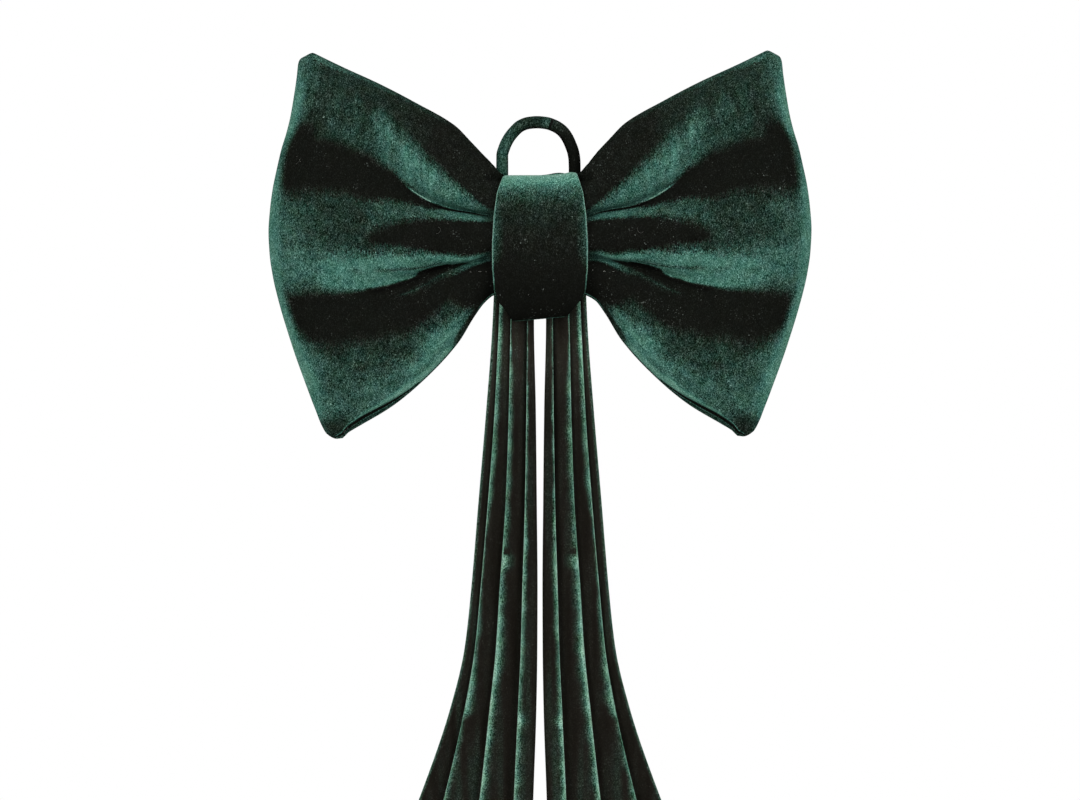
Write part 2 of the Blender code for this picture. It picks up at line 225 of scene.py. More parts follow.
def wing_creases(share, out, down):
    """The share of the depth that the creases take, and how far the rolls above them hang over."""
    width = smooth(share, SECTION["share"], SECTION["crease_width"])
    sharp, soft = CREASE_SHARPNESS
    power = sharp + (soft - sharp) * np.clip(out / CREASE_SOFTENS, 0, 1)
    full, fades, gone = LIP_ENDS
    hangs = np.clip(out / full, 0, 1) * np.clip((gone - out) / (gone - fades), 0, 1)
    drop, lip = 0, 0
    for crease, name in ((1, "upper_drop"), (2, "lower_drop")):
        away = down * ROLLS - crease
        reach = width * np.where(away < 0, *CREASE_SIDES)
        deepest = smooth(share, SECTION["share"], SECTION[name])
        drop = drop + deepest * near(np.abs(away), 0, reach, power)
        lip = lip + hangs * near(away, LIP_PLACE, LIP_WIDTH)
    return drop, LIP * lip


def wing_points(side, share, down, face):
    """Points of one wing. side is 1 on the right and -1 on the left, face -1 in front and 1 behind."""
    end = columns(END_COLUMNS, END)
    out = out_past_knot(share)
    x = KNOT_SIDE * np.clip(share / KNOT_SHARE, 0, 1)
    x = x + (smooth(down, end["down"], end["reach"]) - KNOT_SIDE) * out
    z = wing_heights(share, down)
    for corner, reach, cut in CORNERS:
        near_end = np.clip(1 - (1 - share) / reach, 0, 1) ** CORNER_POWER
        z = z + cut * near_end * np.clip(1 - np.abs(down - corner) / CORNER_REACH, 0, 1) ** CORNER_POWER
    foot, foot_reach, foot_down, foot_drop = FOOT
    z = z + foot_drop * near(share, foot, foot_reach) * step(down, foot_down, 1.0)

    inner_power, outer_power = SECTION_POWERS
    power = inner_power + (outer_power - inner_power) * out
    crown = (1 - np.abs(2 * down - 1) ** power) ** (1 / power)
    rounding = np.sqrt(1 - np.clip((share - END_START) / (1 - END_START), 0, 1) ** 2)
    drop, lip = wing_creases(share, out, down)
    depth = smooth(share, SECTION["share"], SECTION["half_depth"]) * crown * rounding * (1 - drop)
    if face > 0:
        depth = np.minimum(depth, BACK_FLAT + (depth.max() - BACK_FLAT) * np.clip(out / BACK_RELEASE, 0, 1))
        lip = lip * BACK_LIP
    z = z - lip * (1 - np.abs(2 * down - 1) ** LIP_EDGE_POWER)
    if face < 0:
        up = z - z[-1]
        seam = between(out, *SEAM_ENDS)
        rise = seam_rise(share)
        edge = SEAM_EDGE * rise
        inside = np.sqrt(np.clip(edge**2 / 4 - (up - edge / 2) ** 2, 0, None))
        ledge = step(up, SEAM_LEDGE[0] * rise, SEAM_LEDGE[1] * rise)
        depth = depth + (np.minimum(depth, inside) - depth) * (1 - ledge) * seam * (down > 0.5)

    band = columns(BAND_COLUMNS, BAND)
    cover = np.interp(z, band["z"], band["front_half_width" if face < 0 else "back_half_width"])
    depth = np.minimum(depth, band_room(z) + WING_SPREAD * np.clip(x - cover - BAND_CLEARANCE, 0, None))
    if side > 0:
        z = z + RIGHT_LIFT * np.clip(out / RIGHT_LIFT_START, 0, 1)
    return np.stack([side * x, BOW_Y + face * depth, z], axis=1)


# Painted light and shade on the pile: about 0.2 where painted shade leaves it nearly black, and above 1
# where a painted highlight stands for pile turned towards the eye and the light. Each shine is a painted
# highlight band along a roll. A row gives its two edges, how softly each fades, and its level, at each
# share out, all in thousandths.
SHINE_COLUMNS = ("out", "upper", "upper_fade", "lower", "lower_fade", "level")
ABOVE, BELOW = (-100, 20), (1200, 20)  # an edge past the section's own, where a shine runs off it
SHINES = {
    "top_edge": (
        (0, *ABOVE, 20, 10, 260), (200, *ABOVE, 20, 10, 280), (340, *ABOVE, 20, 10, 380),
        (500, *ABOVE, 20, 10, 480), (750, *ABOVE, 20, 10, 620), (900, *ABOVE, 26, 12, 800),
        (1000, *ABOVE, 26, 12, 600),
    ),
    "top_haze": (
        (0, *ABOVE, 300, 40, 235), (280, *ABOVE, 300, 40, 240), (400, *ABOVE, 300, 30, 300),
        (600, *ABOVE, 320, 25, 360), (750, *ABOVE, 330, 20, 390), (830, *ABOVE, 334, 16, 370),
        (880, *ABOVE, 278, 40, 420), (930, *ABOVE, 262, 50, 600), (1000, *ABOVE, 275, 55, 800),
    ),
    "top_roll": (
        (0, 300, 20, 345, 20, 550), (50, 270, 16, 338, 10, 800), (120, 248, 24, 333, 14, 840),
        (170, 232, 30, 328, 22, 880), (220, 216, 36, 324, 28, 920), (270, 204, 42, 324, 30, 940),
        (320, 193, 50, 334, 16, 960), (370, 180, 52, 324, 22, 950), (420, 168, 56, 318, 20, 940),
        (470, 166, 60, 315, 20, 900), (520, 158, 62, 325, 28, 840), (570, 156, 62, 326, 34, 700),
        (620, 158, 55, 330, 36, 520), (700, 130, 45, 332, 30, 480), (780, 120, 45, 322, 30, 450),
        (840, 60, 40, 205, 40, 420), (900, 60, 40, 205, 50, 500), (1000, 45, 40, 270, 60, 800),
    ),
    "top_roll_lip": (
        (0, 300, 10, 336.5, 3, 600), (60, 298, 12, 336.5, 3, 950), (200, 296, 16, 337, 3, 980),
        (300, 300, 18, 336.5, 3, 1000), (360, 310, 18, 334, 4, 800), (420, 318, 10, 330, 4, 300),
        (1000, 318, 10, 330, 4, 200),
    ),
    "under_upper_crease": (
        (0, 342, 10, 380, 16, 600), (50, 347.5, 5, 388, 14, 1000), (120, 349, 5, 394, 14, 1000),
        (170, 350, 5, 398, 18, 950), (220, 353, 8, 405, 20, 840), (270, 366, 14, 413, 22, 760),
        (320, 378, 15, 428, 26, 620), (370, 387, 16, 450, 24, 570), (420, 402, 16, 468, 26, 580),
        (470, 421, 16, 488, 30, 570), (520, 441, 16, 510, 32, 500), (570, 455, 16, 560, 40, 430),
        (620, 458, 18, 590, 40, 420), (700, 458, 22, 620, 40, 430), (770, 464, 30, 640, 40, 440),
        (830, 474, 36, 650, 40, 540), (900, 474, 36, 660, 40, 680), (1000, 460, 36, 670, 40, 880),
    ),
    "middle_roll_haze": (
        (300, 580, 10, 640, 10, 210), (340, 556, 12, 640, 10, 380), (400, 547, 12, 640, 10, 460),
        (470, 549, 12, 640, 10, 480), (560, 552, 14, 640, 10, 440), (680, 546, 18, 640, 10, 450),
        (780, 540, 20, 640, 10, 500), (1000, 530, 30, 640, 10, 800),
    ),
    "middle_roll": (
        (0, 624, 12, 700, 12, 600), (30, 616, 12, 700, 14, 800), (70, 606, 12, 700, 12, 1100),
        (120, 606, 11, 660, 8, 1150), (170, 599, 12, 662, 6, 1120), (220, 593, 12, 648, 5, 1060),
        (270, 584, 13, 638, 4, 1020), (325, 574, 14, 637, 5, 1020), (350, 575, 15, 662, 4, 1040),
        (450, 575, 15, 666, 4, 1120), (550, 578, 16, 666, 5, 1100), (650, 583, 22, 671, 10, 1050),
        (750, 588, 32, 673, 18, 1000), (850, 580, 40, 668, 32, 860), (1000, 560, 40, 676, 42, 860),
    ),
    "second_strand": (
        (0, 660, 8, 694, 10, 600), (40, 663, 8, 694, 10, 900), (80, 668, 8, 700, 12, 1050),
        (120, 673, 8, 706, 14, 1000), (160, 686, 8, 718, 14, 620), (200, 692, 8, 722, 12, 420),
        (250, 696, 8, 722, 12, 310), (340, 700, 8, 726, 12, 290), (460, 700, 8, 722, 12, 210),
        (1000, 700, 8, 722, 12, 200),
    ),
    "bottom_roll_haze": (
        (0, 1010, 20, *BELOW, 200), (120, 930, 30, *BELOW, 280), (170, 865, 30, *BELOW, 380),
        (220, 825, 35, *BELOW, 440), (280, 835, 30, *BELOW, 520), (380, 842, 30, *BELOW, 540),
        (450, 830, 35, *BELOW, 440), (650, 814, 40, *BELOW, 480), (800, 816, 40, *BELOW, 560),
        (880, 806, 40, *BELOW, 660), (940, 786, 36, *BELOW, 880), (1000, 780, 36, *BELOW, 1000),
    ),
    "bottom_edge": (
        (0, 1010, 20, *BELOW, 200), (200, 1000, 10, *BELOW, 1000), (280, 968, 12, *BELOW, 1350),
        (400, 968, 12, *BELOW, 1400), (600, 968, 12, *BELOW, 1450), (740, 972, 10, *BELOW, 1350),
        (820, 986, 10, *BELOW, 1000), (1000, 1010, 10, *BELOW, 500),
    ),
    "bottom_roll": (
        (0, 1010, 20, *BELOW, 200), (100, 945, 20, 964, 12, 320), (130, 926, 26, 964, 12, 660),
        (170, 898, 22, 964, 12, 920), (220, 893, 22, 974, 14, 1020), (270, 891, 24, *BELOW, 1060),
        (330, 892, 30, *BELOW, 1060), (380, 892, 38, *BELOW, 1000), (430, 912, 36, *BELOW, 960),
        (480, 912, 36, *BELOW, 900), (530, 902, 34, *BELOW, 840), (600, 905, 40, *BELOW, 820),
        (700, 905, 44, *BELOW, 780), (800, 905, 40, *BELOW, 740), (880, 910, 34, *BELOW, 800),
        (1000, 910, 34, *BELOW, 950),
    ),
}
# Painted lines beside the creases, painted shade and painted highlight that stand for narrow folds: half the
# width and the level, then where each runs, out and down.
PAINTED_FOLD_LINES = (
    (0.0026, 2.15, ((0.29, 0.338), (0.33, 0.3368), (0.365, 0.3345), (0.4, 0.3305))),
    (0.0045, 0.05, ((0.08, 0.341), (0.12, 0.343), (0.2, 0.346), (0.25, 0.349), (0.3, 0.347))),
    (0.005, 0.72, ((0.23, 0.629), (0.33, 0.619), (0.4, 0.616), (0.47, 0.616), (0.53, 0.618))),
    (0.0018, 0.4, ((0.29, 0.623), (0.37, 0.618), (0.45, 0.6165))),
    (0.011, 0.1, ((0.205, 0.664), (0.26, 0.664), (0.31, 0.656))),
    (0.006, 0.12, ((0.33, 0.675), (0.45, 0.676), (0.56, 0.676))),
    (0.004, 1.3, ((-0.03, 0.986), (0.02, 0.988), (0.06, 0.99), (0.09, 0.992))),
    (0.0024, 0.44, ((0.19, 0.699), (0.27, 0.707), (0.34, 0.711), (0.43, 0.711))),
)
PAINTED_FOLD_LINE_ENDS = (0.03, 0.01, 0.02)  # it fades from before each end, to inside its first and past its last
# Shallow folds across the top roll, painted only as light and shade: changes of level along it, and where
# down they begin and end.
PAINTED_RIPPLES = (
    (0.36, 0.0), (0.4, 0.05), (0.43, 0.07), (0.475, -0.1), (0.525, 0.1), (0.575, 0.0), (0.625, -0.12),
    (0.675, 0.12), (0.725, -0.06), (0.775, 0.05), (0.83, -0.05), (0.9, 0.0),
)
PAINTED_RIPPLES_DOWN = (0.06, 0.14, 0.24, 0.32)
BASE_PAINTED_LEVEL = 0.205
KNOT_SHADOW = 0.03  # the bottom roll is darker beside the knot
# A painted rim highlight along each wing's outer end: for each place down, the share out where it begins,
# and its level.
RIM_COLUMNS = ("down", "start", "level")
RIM_HIGHLIGHT = (
    (0.0, 0.985, 0.72), (0.1, 0.955, 1.08), (0.2, 0.942, 1.28), (0.3, 0.956, 1.28), (0.345, 0.968, 1.0),
    (0.385, 0.97, 1.0), (0.42, 0.966, 1.2), (0.47, 0.955, 1.26), (0.52, 0.95, 1.22), (0.6, 0.944, 1.26),
    (0.7, 0.956, 1.26), (0.78, 0.95, 1.34), (0.86, 0.936, 1.34), (0.92, 0.948, 1.1), (0.95, 0.962, 0.75),
    (0.975, 0.988, 0.4), (1.0, 0.995, 0.3),
)
RIM_FADE = 0.022
RIM_START = 0.8  # where the rim begins, the share of its level
# The hollow in the lower corner is darkened with painted shade:
CORNER_DENT_SHADE = (0.925, 0.080, 0.985, 0.034, 0.23)  # a hollow in the lower corner: out, reach, down, reach, level
CORNER_DENT_SHADE_SHARE = 0.85
# Where the pile is combed one way: down from, to; how long and wide its strokes are; how strongly they
# show; a seed.
COMBED = (
    (0.04, 0.33, (0.0032, 0.0110), 0.10, 11),
    (0.34, 0.66, (0.0130, 0.0028), 0.10, 12),
    (0.68, 1.00, (0.0110, 0.0030), 0.09, 13),
)
WING_LENGTH, WING_HEIGHT = 0.112, 0.150
CHANGE_LIMIT = 180.0
STRAY = ((0.0045, 0.0022), (0.0120, 0.0030))  # the shines wander: over what distance, and by how much
# Near the creases they keep their place: where down, how near and how firmly.
HELD = ((1 / 3, 0.02, 0.85), (0.63, 0.06, 0.85))
# The seam's painted light, from the panel's edge down: a painted highlight on the panel's edge, painted
# shade in the groove, and the back panel's edge; the level of each, then where up it lies, in rises.
PANEL_EDGE_HIGHLIGHT, GROOVE_SHADE, BACK_EDGE = (1.25, 1.08, 0.09), (0.16, 0.50, 0.58, 0.92, 1.00), (0.55, 0.53, 0.46)
SEAMED_FROM = 0.0012  # where the rise is less, the seam is hidden below
# Where the seam is hidden, painted shade darkens the lower edge:
PLAIN_EDGE_SHADE = (0.30, 0.8, 0.0009, 0.0004)  # the lower edge there: level, share, and how far up


def painted_shines(out, down, placed):
    """The painted highlights along the rolls, a painted shadow beside the knot, and shallow folds across the
    top roll painted as light and shade.
    """
    for number, (length, reach) in enumerate(STRAY):
        loose = 1
        for place, close, share in HELD:
            loose = loose - share * near(down, place, close)
        down = down + reach * waves(placed, length, number) * loose * step(out, 0.03, 0.25)
    painted_light = BASE_PAINTED_LEVEL - KNOT_SHADOW * step(out, 0.12, 0.04) * step(down, 0.6, 0.7)
    for rows in SHINES.values():
        shine = columns(SHINE_COLUMNS, np.array(rows) / 1000)
        parts = (smooth(out, shine["out"], shine[part]) for part in SHINE_COLUMNS[1:])
        upper, upper_fade, lower, lower_fade, level = parts
        edges = (upper - upper_fade, upper + upper_fade, lower - lower_fade, lower + lower_fade)
        painted_light = raised(painted_light, level, between(down, *edges))
    return painted_light * (1 + smooth(out, *np.array(PAINTED_RIPPLES).T) * between(down, *PAINTED_RIPPLES_DOWN))


def seam_painted_light(painted_light, out, up, rise):
    """Painted light over the seam: a painted highlight on the panel's edge, painted shade in the groove, the
    back panel's edge, and painted shade on the lower edge where the seam is hidden.
    """
    seamed = rise > SEAMED_FROM
    level, place, width = PANEL_EDGE_HIGHLIGHT
    painted_light = towards(painted_light, level, near(up / rise, place, width) * seamed)
    level, *ends = GROOVE_SHADE
    painted_light = towards(painted_light, level, between(up / rise, *ends) * seamed)
    level, *ends = BACK_EDGE
    painted_light = towards(painted_light, level, step(up / rise, *ends) * seamed)
    level, share, *ends = PLAIN_EDGE_SHADE
    return towards(painted_light, level, share * step(up, *ends) * step(out, 0.12, 0.2) * ~seamed)


def wing_painted_light(share, down, points, up=None):
    """The painted light and shade over a section of a wing, with combed strokes of the pile. up is each
    point's height above the seam's edge.
    """
    out = out_past_knot(share)
    painted_light = painted_shines(out, down, np.abs(points) * [1, 0, 1])
    for low, high, (along_out, along_down), strength, seed in COMBED:
        place = np.stack([out * WING_LENGTH / along_out, 0 * out, down * WING_HEIGHT / along_down], axis=1)
        here = between(down, low, low + 0.05, high - 0.05, high) * step(out, 0.05, 0.25)
        painted_light = painted_light * (1 + strength * waves(place, 1.0, seed) * here * step(painted_light, 0.22, 0.5))
    before, within, past = PAINTED_FOLD_LINE_ENDS
    for width, level, line in PAINTED_FOLD_LINES:
        along, place = np.array(line).T
        ends = (along[0] - before, along[0] + within, along[-1] - before, along[-1] + past)
        painted_light = towards(painted_light, level, near(down, smooth(out, along, place), width) * between(out, *ends))
    dent_out, dent_long, dent_down, dent_high, dent_level = CORNER_DENT_SHADE
    dent_shade = near(out, dent_out, dent_long, 4) * near(down, dent_down, dent_high, 4)
    painted_light = towards(painted_light, dent_level, CORNER_DENT_SHADE_SHARE * dent_shade)
    rim_highlight = columns(RIM_COLUMNS, RIM_HIGHLIGHT)
    start, level = (smooth(down, rim_highlight["down"], rim_highlight[part]) for part in RIM_COLUMNS[1:])
    level = level * (RIM_START + (1 - RIM_START) * np.clip((out - start) / (1 - start), 0, 1))
    painted_light = raised(painted_light, level, step(out, start - RIM_FADE, start + RIM_FADE))
    return painted_light if up is None else seam_painted_light(painted_light, out, up, seam_rise(share))


def painted_light_change(painted_light, down):
    """How fast the painted light changes downwards, for each metre. The creases and the seam stay crisp."""
    crisp = near(down, 1 / 3, 0.012) + near(down, 0.655, 0.045) + step(down, 0.94, 0.97)
    change = np.clip(np.gradient(painted_light, down) / WING_HEIGHT, -CHANGE_LIMIT, CHANGE_LIMIT)
    return change * np.clip(1 - crisp, 0, 1)


def wing_downs(share, points):
    """How far down each point of a section lies, the seam's own rows last, and how far above its edge."""
    even = np.arange(points) / points
    in_roll = 0.5 * (1 - np.cos(math.pi * even)) / 2 + 0.5 * even
    down = (np.arange(ROLLS)[:, None] + in_roll).ravel() / ROLLS
    height = float(np.subtract(*wing_heights(np.array([share, share]), np.array([0.0, 1.0]))))
    seam = np.array(SEAM_ROWS) * float(seam_rise(np.array([share]))[0]) / height
    down = np.concatenate([down * (1 - seam[0]), 1 - seam])
    return down, (1 - down) * height


def wing_section(side, share, face):
    """A section's points on one face, from its top down, its painted light and how fast that changes."""
    down, up = wing_downs(share, FRONT_POINTS if face < 0 else BACK_POINTS)
    shares = np.full(len(down), share)
    points = wing_points(side, shares, down, face)
    painted_light = wing_painted_light(shares, down, points, up if face < 0 else None)
    return points, painted_light, painted_light_change(painted_light, down)


def new_object(name, data):
    """An object of the scene that shows this mesh, light or camera."""
    obj = bpy.data.objects.new(name, data)
    bpy.context.scene.collection.objects.link(obj)
    return obj


def velvet_mesh(name, rows, kept, closed_rows=True, closed_ends=False):
    """A surface over rows of points. Each point keeps its values of painted light and shade."""
    bm = bmesh.new()
    layers = [bm.verts.layers.float.new(value) for value in kept]
    made = []
    for row, *values in zip(rows, *kept.values()):
        made.append([bm.verts.new(point) for point in row])
        for vert, *point_values in zip(made[-1], *values):
            for layer, value in zip(layers, point_values):
                vert[layer] = value
    followers = made[1:] + made[:1] if closed_ends else made[1:]
    for row, following in zip(made, followers):
        for i in range(len(row) if closed_rows else len(row) - 1):
            j = (i + 1) % len(row)
            bm.faces.new((row[i], row[j], following[j], following[i]))
    bmesh.ops.remove_doubles(bm, verts=bm.verts, dist=1e-6)
    bmesh.ops.recalc_face_normals(bm, faces=bm.faces)
    mesh = bpy.data.meshes.new(name)
    bm.to_mesh(mesh)
    bm.free()
    mesh.shade_smooth()
    return new_object(name, mesh)


# The pile's colour at each level of painted light, from painted shade to painted highlight.
PILE_TONES = (
    (0.1, (0.046, 0.046, 0.04)), (0.2, (0.076, 0.081, 0.069)), (0.25, (0.087, 0.098, 0.082)),
    (0.31, (0.093, 0.125, 0.102)), (0.4, (0.104, 0.163, 0.133)), (0.52, (0.131, 0.224, 0.187)),
    (0.68, (0.172, 0.287, 0.248)), (0.88, (0.219, 0.367, 0.325)), (1.08, (0.266, 0.45, 0.398)),
    (1.32, (0.36, 0.548, 0.482)), (1.6, (0.48, 0.642, 0.58)), (2.2, (0.66, 0.72, 0.66)),
)
TAIL_TONES = (
    (0.1, (0.048, 0.045, 0.036)), (0.2, (0.086, 0.078, 0.063)), (0.25, (0.104, 0.095, 0.08)),
    (0.31, (0.123, 0.117, 0.101)), (0.4, (0.134, 0.164, 0.137)), (0.52, (0.16, 0.22, 0.18)),
    (0.68, (0.195, 0.296, 0.244)), (0.88, (0.24, 0.374, 0.31)), (1.08, (0.298, 0.458, 0.386)),
    (1.32, (0.384, 0.56, 0.48)), (1.6, (0.5, 0.67, 0.59)), (2.2, (0.62, 0.78, 0.7)),
)
# How much of the grain shows at each level of painted light, from painted shade to painted highlight.
PILE_GRAIN = (
    (0.15, 0.05), (0.2, 0.11), (0.25, 0.27), (0.31, 0.48), (0.45, 0.76), (0.6, 1.0), (0.9, 1.0), (1.1, 0.85),
)
TAIL_GRAIN = ((0.15, 0.06), (0.29, 0.1), (0.36, 0.3), (0.5, 0.7), (0.7, 1.3), (1.1, 1.5), (1.6, 1.3))
PILE_RANGE = 2.2
TUFTS, BRUSHED = (1600.0, 1.9), (300.0, 0.55)  # the grain's noises: scale and share
HAIRS, HAIR_STRETCH, HAIR_REACH = 1500.0, 0.30, 0.0060
TIP_SHARPNESS = 4.2  # where the pile is dark, single tips stand out light
GRAIN_DEPTH = 0.57
GRAIN_TINT = (0.95, 1.02, 1.00)
HUE_DRIFT = (0.05, 0.0, 0.06)
DARKEST, PALEST = (0.025, 0.025, 0.022), (0.9, 0.9, 0.9)
PILE_BRIGHTNESS = 0.572
SRGB_GAMMA, SRGB_OFFSET = 2.4, 0.055
GREY = (0.5, 0.5, 0.5)
WHITE = (1.0, 1.0, 1.0)


def new_node(tree, kind, inputs=(), **own):
    """A node of a tree with its own settings. Its inputs, by name or number, are values, sockets or
    nodes, which stand for their first output."""
    node = tree.nodes.new(kind)
    for name, value in own.items():
        setattr(node, name, value)
    for name, value in dict(inputs).items():
        if isinstance(value, bpy.types.Node):
            value = value.outputs[0]
        if isinstance(value, bpy.types.NodeSocket):
            tree.links.new(value, node.inputs[name])
        else:
            node.inputs[name].default_value = value
    return node


def new_material(name, roughness, specular):
    """A material, its tree and the inputs of its shader."""
    material = bpy.data.materials.new(name)
    material.use_nodes = True
    shader = material.node_tree.nodes["Principled BSDF"]
    shader.inputs["Roughness"].default_value = roughness
    shader.inputs["Specular IOR Level"].default_value = specular
    return material, material.node_tree, shader.inputs


def velvet(name, tones=PILE_TONES, shown=PILE_GRAIN, drift=0.30, specks=1.0, streak=(1.40, 1.0, 0.76)):
    """Dark green pile, with light and shade painted into it from its attributes, and fine noise that breaks
    it up into tufts.
    """
    material, tree, finish = new_material(name, roughness=0.95, specular=0.0)
    place = new_node(tree, "ShaderNodeTexCoord").outputs["Object"]
    comb, hair_comb = (
        new_node(tree, "ShaderNodeMapping", {"Vector": place, "Scale": scale})
        for scale in (streak, (1.0, 1.0, HAIR_STRETCH))
    )

    def attribute(kept, output):
        return new_node(tree, "ShaderNodeAttribute", attribute_name=kept).outputs[output]

    def noise(scale, detail, vector=place):
        inputs = {"Scale": scale, "Detail": detail, "Roughness": 0.65, "Vector": vector}
        return new_node(tree, "ShaderNodeTexNoise", inputs)

    def maths(kind, operation):
        return lambda *values: new_node(tree, kind, enumerate(values), operation=operation)

    # The first four work on numbers, the others on colours.
    plus, minus, times, over = (
        maths("ShaderNodeMath", operation) for operation in ("ADD", "SUBTRACT", "MULTIPLY", "DIVIDE")
    )
    add, subtract, multiply, at_least, at_most = (
        maths("ShaderNodeVectorMath", operation)
        for operation in ("ADD", "SUBTRACT", "MULTIPLY", "MAXIMUM", "MINIMUM")
    )

    def around_zero(value, size):
        return times(minus(value, 0.5), size)

    def ranged(value, low, high, size):
        return new_node(tree, "ShaderNodeMapRange", enumerate((value, low, high, 0.0, size)))

    def ramp(stops, value):
        node = new_node(tree, "ShaderNodeValToRGB", {"Fac": over(value, PILE_RANGE)})
        elements = node.color_ramp.elements
        while len(elements) < len(stops):
            elements.new(0.5)
        for element, (at, colour) in zip(elements, stops):
            element.position = at / PILE_RANGE
            element.color = (*(colour if isinstance(colour, tuple) else [colour] * 3), 1.0)
        return node

    painted_level, tufts = attribute("painted_light", "Fac"), noise(TUFTS[0], 1.0, comb)
    lively = ramp(shown, painted_level)
    # Where the painted light changes, upright hairs reach over from one side to the other.
    hairs = around_zero(noise(HAIRS, 0.0, hair_comb), HAIR_REACH)
    combed = plus(painted_level, times(hairs, attribute("change", "Fac")))
    # Broad, soft changes move the tone itself. Tufts only lighten and darken it, and show least where the
    # painted shade is darkest.
    cloudy = minus(noise(70.0, 2.0), 0.5)
    soft = times(cloudy, times(lively, drift))
    tone = ramp(tones, plus(combed, soft))
    grain = plus(around_zero(tufts, TUFTS[1]), around_zero(noise(BRUSHED[0], 3.0, comb), BRUSHED[1]))
    tips = times(minus(1.0, lively), TIP_SHARPNESS)
    tips = plus(1.0, times(minus(tufts, 0.5), tips))
    grain = times(times(grain, tips), times(lively, GRAIN_DEPTH))
    # Here and there a lighter fibre or a grain of dust catches the light.
    dusty = ranged(noise(120.0, 2.0), 0.50, 0.68, 1.0)
    fibres = ranged(noise(1300.0, 0.0), 0.66, 0.82, 0.33 * specks)
    light = plus(grain, times(fibres, dusty))
    hue = multiply(subtract(noise(160.0, 1.0).outputs["Color"], GREY), HUE_DRIFT)
    hue = multiply(hue, lively)
    seen = add(add(tone, hue), multiply(light, GRAIN_TINT))
    seen = at_least(seen, DARKEST)
    # From what the eye sees to the colour of the pile itself.
    scale = PILE_BRIGHTNESS ** (1 / SRGB_GAMMA) / (1 + SRGB_OFFSET)
    linear = multiply(add(seen, (SRGB_OFFSET,) * 3), (scale,) * 3)
    linear = new_node(tree, "ShaderNodeGamma", {"Color": linear, "Gamma": SRGB_GAMMA})
    # The attribute lift is painted light: it brightens the colour on fold crests, in the shade of the folds
    # and on the tails' tops.
    painted_fill_colour = multiply(linear, add(attribute("lift", "Vector"), WHITE))
    tree.links.new(at_most(painted_fill_colour, PALEST).outputs[0], finish["Base Color"])
    bump = new_node(tree, "ShaderNodeBump", {"Strength": 0.35, "Distance": 0.0004, "Height": tufts})
    tree.links.new(bump.outputs[0], finish["Normal"])
    return material


def finish_piece(obj, material, slot, *nodes):
    """Gives a piece its material, hangs it on the root body and hides the CAD nodes it stands for."""
    obj.data.materials.append(material)
    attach(obj, "root")
    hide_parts(*nodes)


band_shares = np.array(BAND_STATIONS) * KNOT_SHARE / KNOT_SIDE
fan_steps = np.linspace(0, 1, FAN_STATIONS, endpoint=False) ** FAN_CROWDING
end_steps = np.sin(np.linspace(0, math.pi / 2, END_STATIONS + 1))
fan_shares = KNOT_SHARE + (END_START - KNOT_SHARE) * fan_steps
bow_shares = np.concatenate([band_shares, fan_shares, END_START + (1 - END_START) * end_steps])
bow_rows, bow_painted_light, bow_change = [], [], []
for side, places in ((-1, bow_shares[::-1]), (1, bow_shares[1:])):
    for share in places:
        faces = zip(wing_section(side, share, -1), wing_section(side, share, 1))
        for kept, (front, back) in zip((bow_rows, bow_painted_light, bow_change), faces):
            kept.append(np.concatenate([front, back[-2:0:-1]]))

bow = velvet_mesh("velvet_bow", bow_rows, {"painted_light": bow_painted_light, "change": bow_change})
finish_piece(bow, velvet("bow_pile"), "bow_velvet", "bow")

# ---------------------------------------------------------------------------------------------
# The knot: a band of folded velvet, wrapped tightly round the pinch and closed by hand behind it.
# ---------------------------------------------------------------------------------------------
BAND_THICKNESS = 0.0026
BAND_GAP = 0.0005
BAND_SLANT = 0.09
BAND_STATION_COUNT = 260
STRAP_POINTS = 80
STRAP_CROWDING = 0.35  # how much closer its points lie at its edges
STRAP_CROWN = (0.55, 0.53, 18)  # how far its face stands off at its edges, how much more between, how flatly
STRAP_INSIDE = ((-0.99, 0.15), (-0.97, 0.0), (-0.5, 0.0), (0.0, 0.0), (0.5, 0.0), (0.97, 0.0), (0.99, 0.15))
TOP_RUCK = (0.0180, 0.0060, 0.0017)  # the band is rucked up at one end of its top: place, reach, height
BACK_RUCK = (0.0105, 0.0062, 0.0014)  # and a little of its back shows above it beside that
BAND_CLOSING = (-0.0450, 0.0005, 0.10)  # the line behind where the band's ends meet: height, width, level
# Behind the knot the level is capped, lower at the top than below.
BAND_BACK = (0.16, 0.30, -0.030, -0.040)  # how the pile lies behind: at the top, how much more below, where
# The knot's painted light in front, brighter towards its top: z and level.
KNOT_SHINE = (
    (-0.106, 0.17), (-0.09, 0.185), (-0.07, 0.22), (-0.056, 0.27), (-0.0476, 0.32), (-0.0432, 0.38),
    (-0.0399, 0.48), (-0.0366, 0.64), (-0.0339, 0.86), (-0.0317, 1.06), (-0.03, 1.22), (-0.0278, 1.36),
    (-0.0262, 1.6),
)
# Painted highlights on the knot: a glow beside its edges, a rim on them, and a faint line along its bottom.
KNOT_GLOW = (0.66, 0.0070, (-0.089, -0.066))  # beside the edges: level, reach, from where upwards
KNOT_RIM_HIGHLIGHT = (1.85, (0.966, 0.995), (-0.099, -0.078))  # on the edges: level, from where across and upwards
KNOT_UNDERSIDE_HIGHLIGHT = (1.00, 0.0003, 0.0165)  # a faint line along the bottom: level, how far up, half its length
CHANGE_SPAN = 0.001

knot_shine = np.array(KNOT_SHINE).T
knot_bottom = PINCH_BOTTOM - BAND_GAP - (STRAP_CROWN[0] + STRAP_CROWN[1]) * BAND_THICKNESS


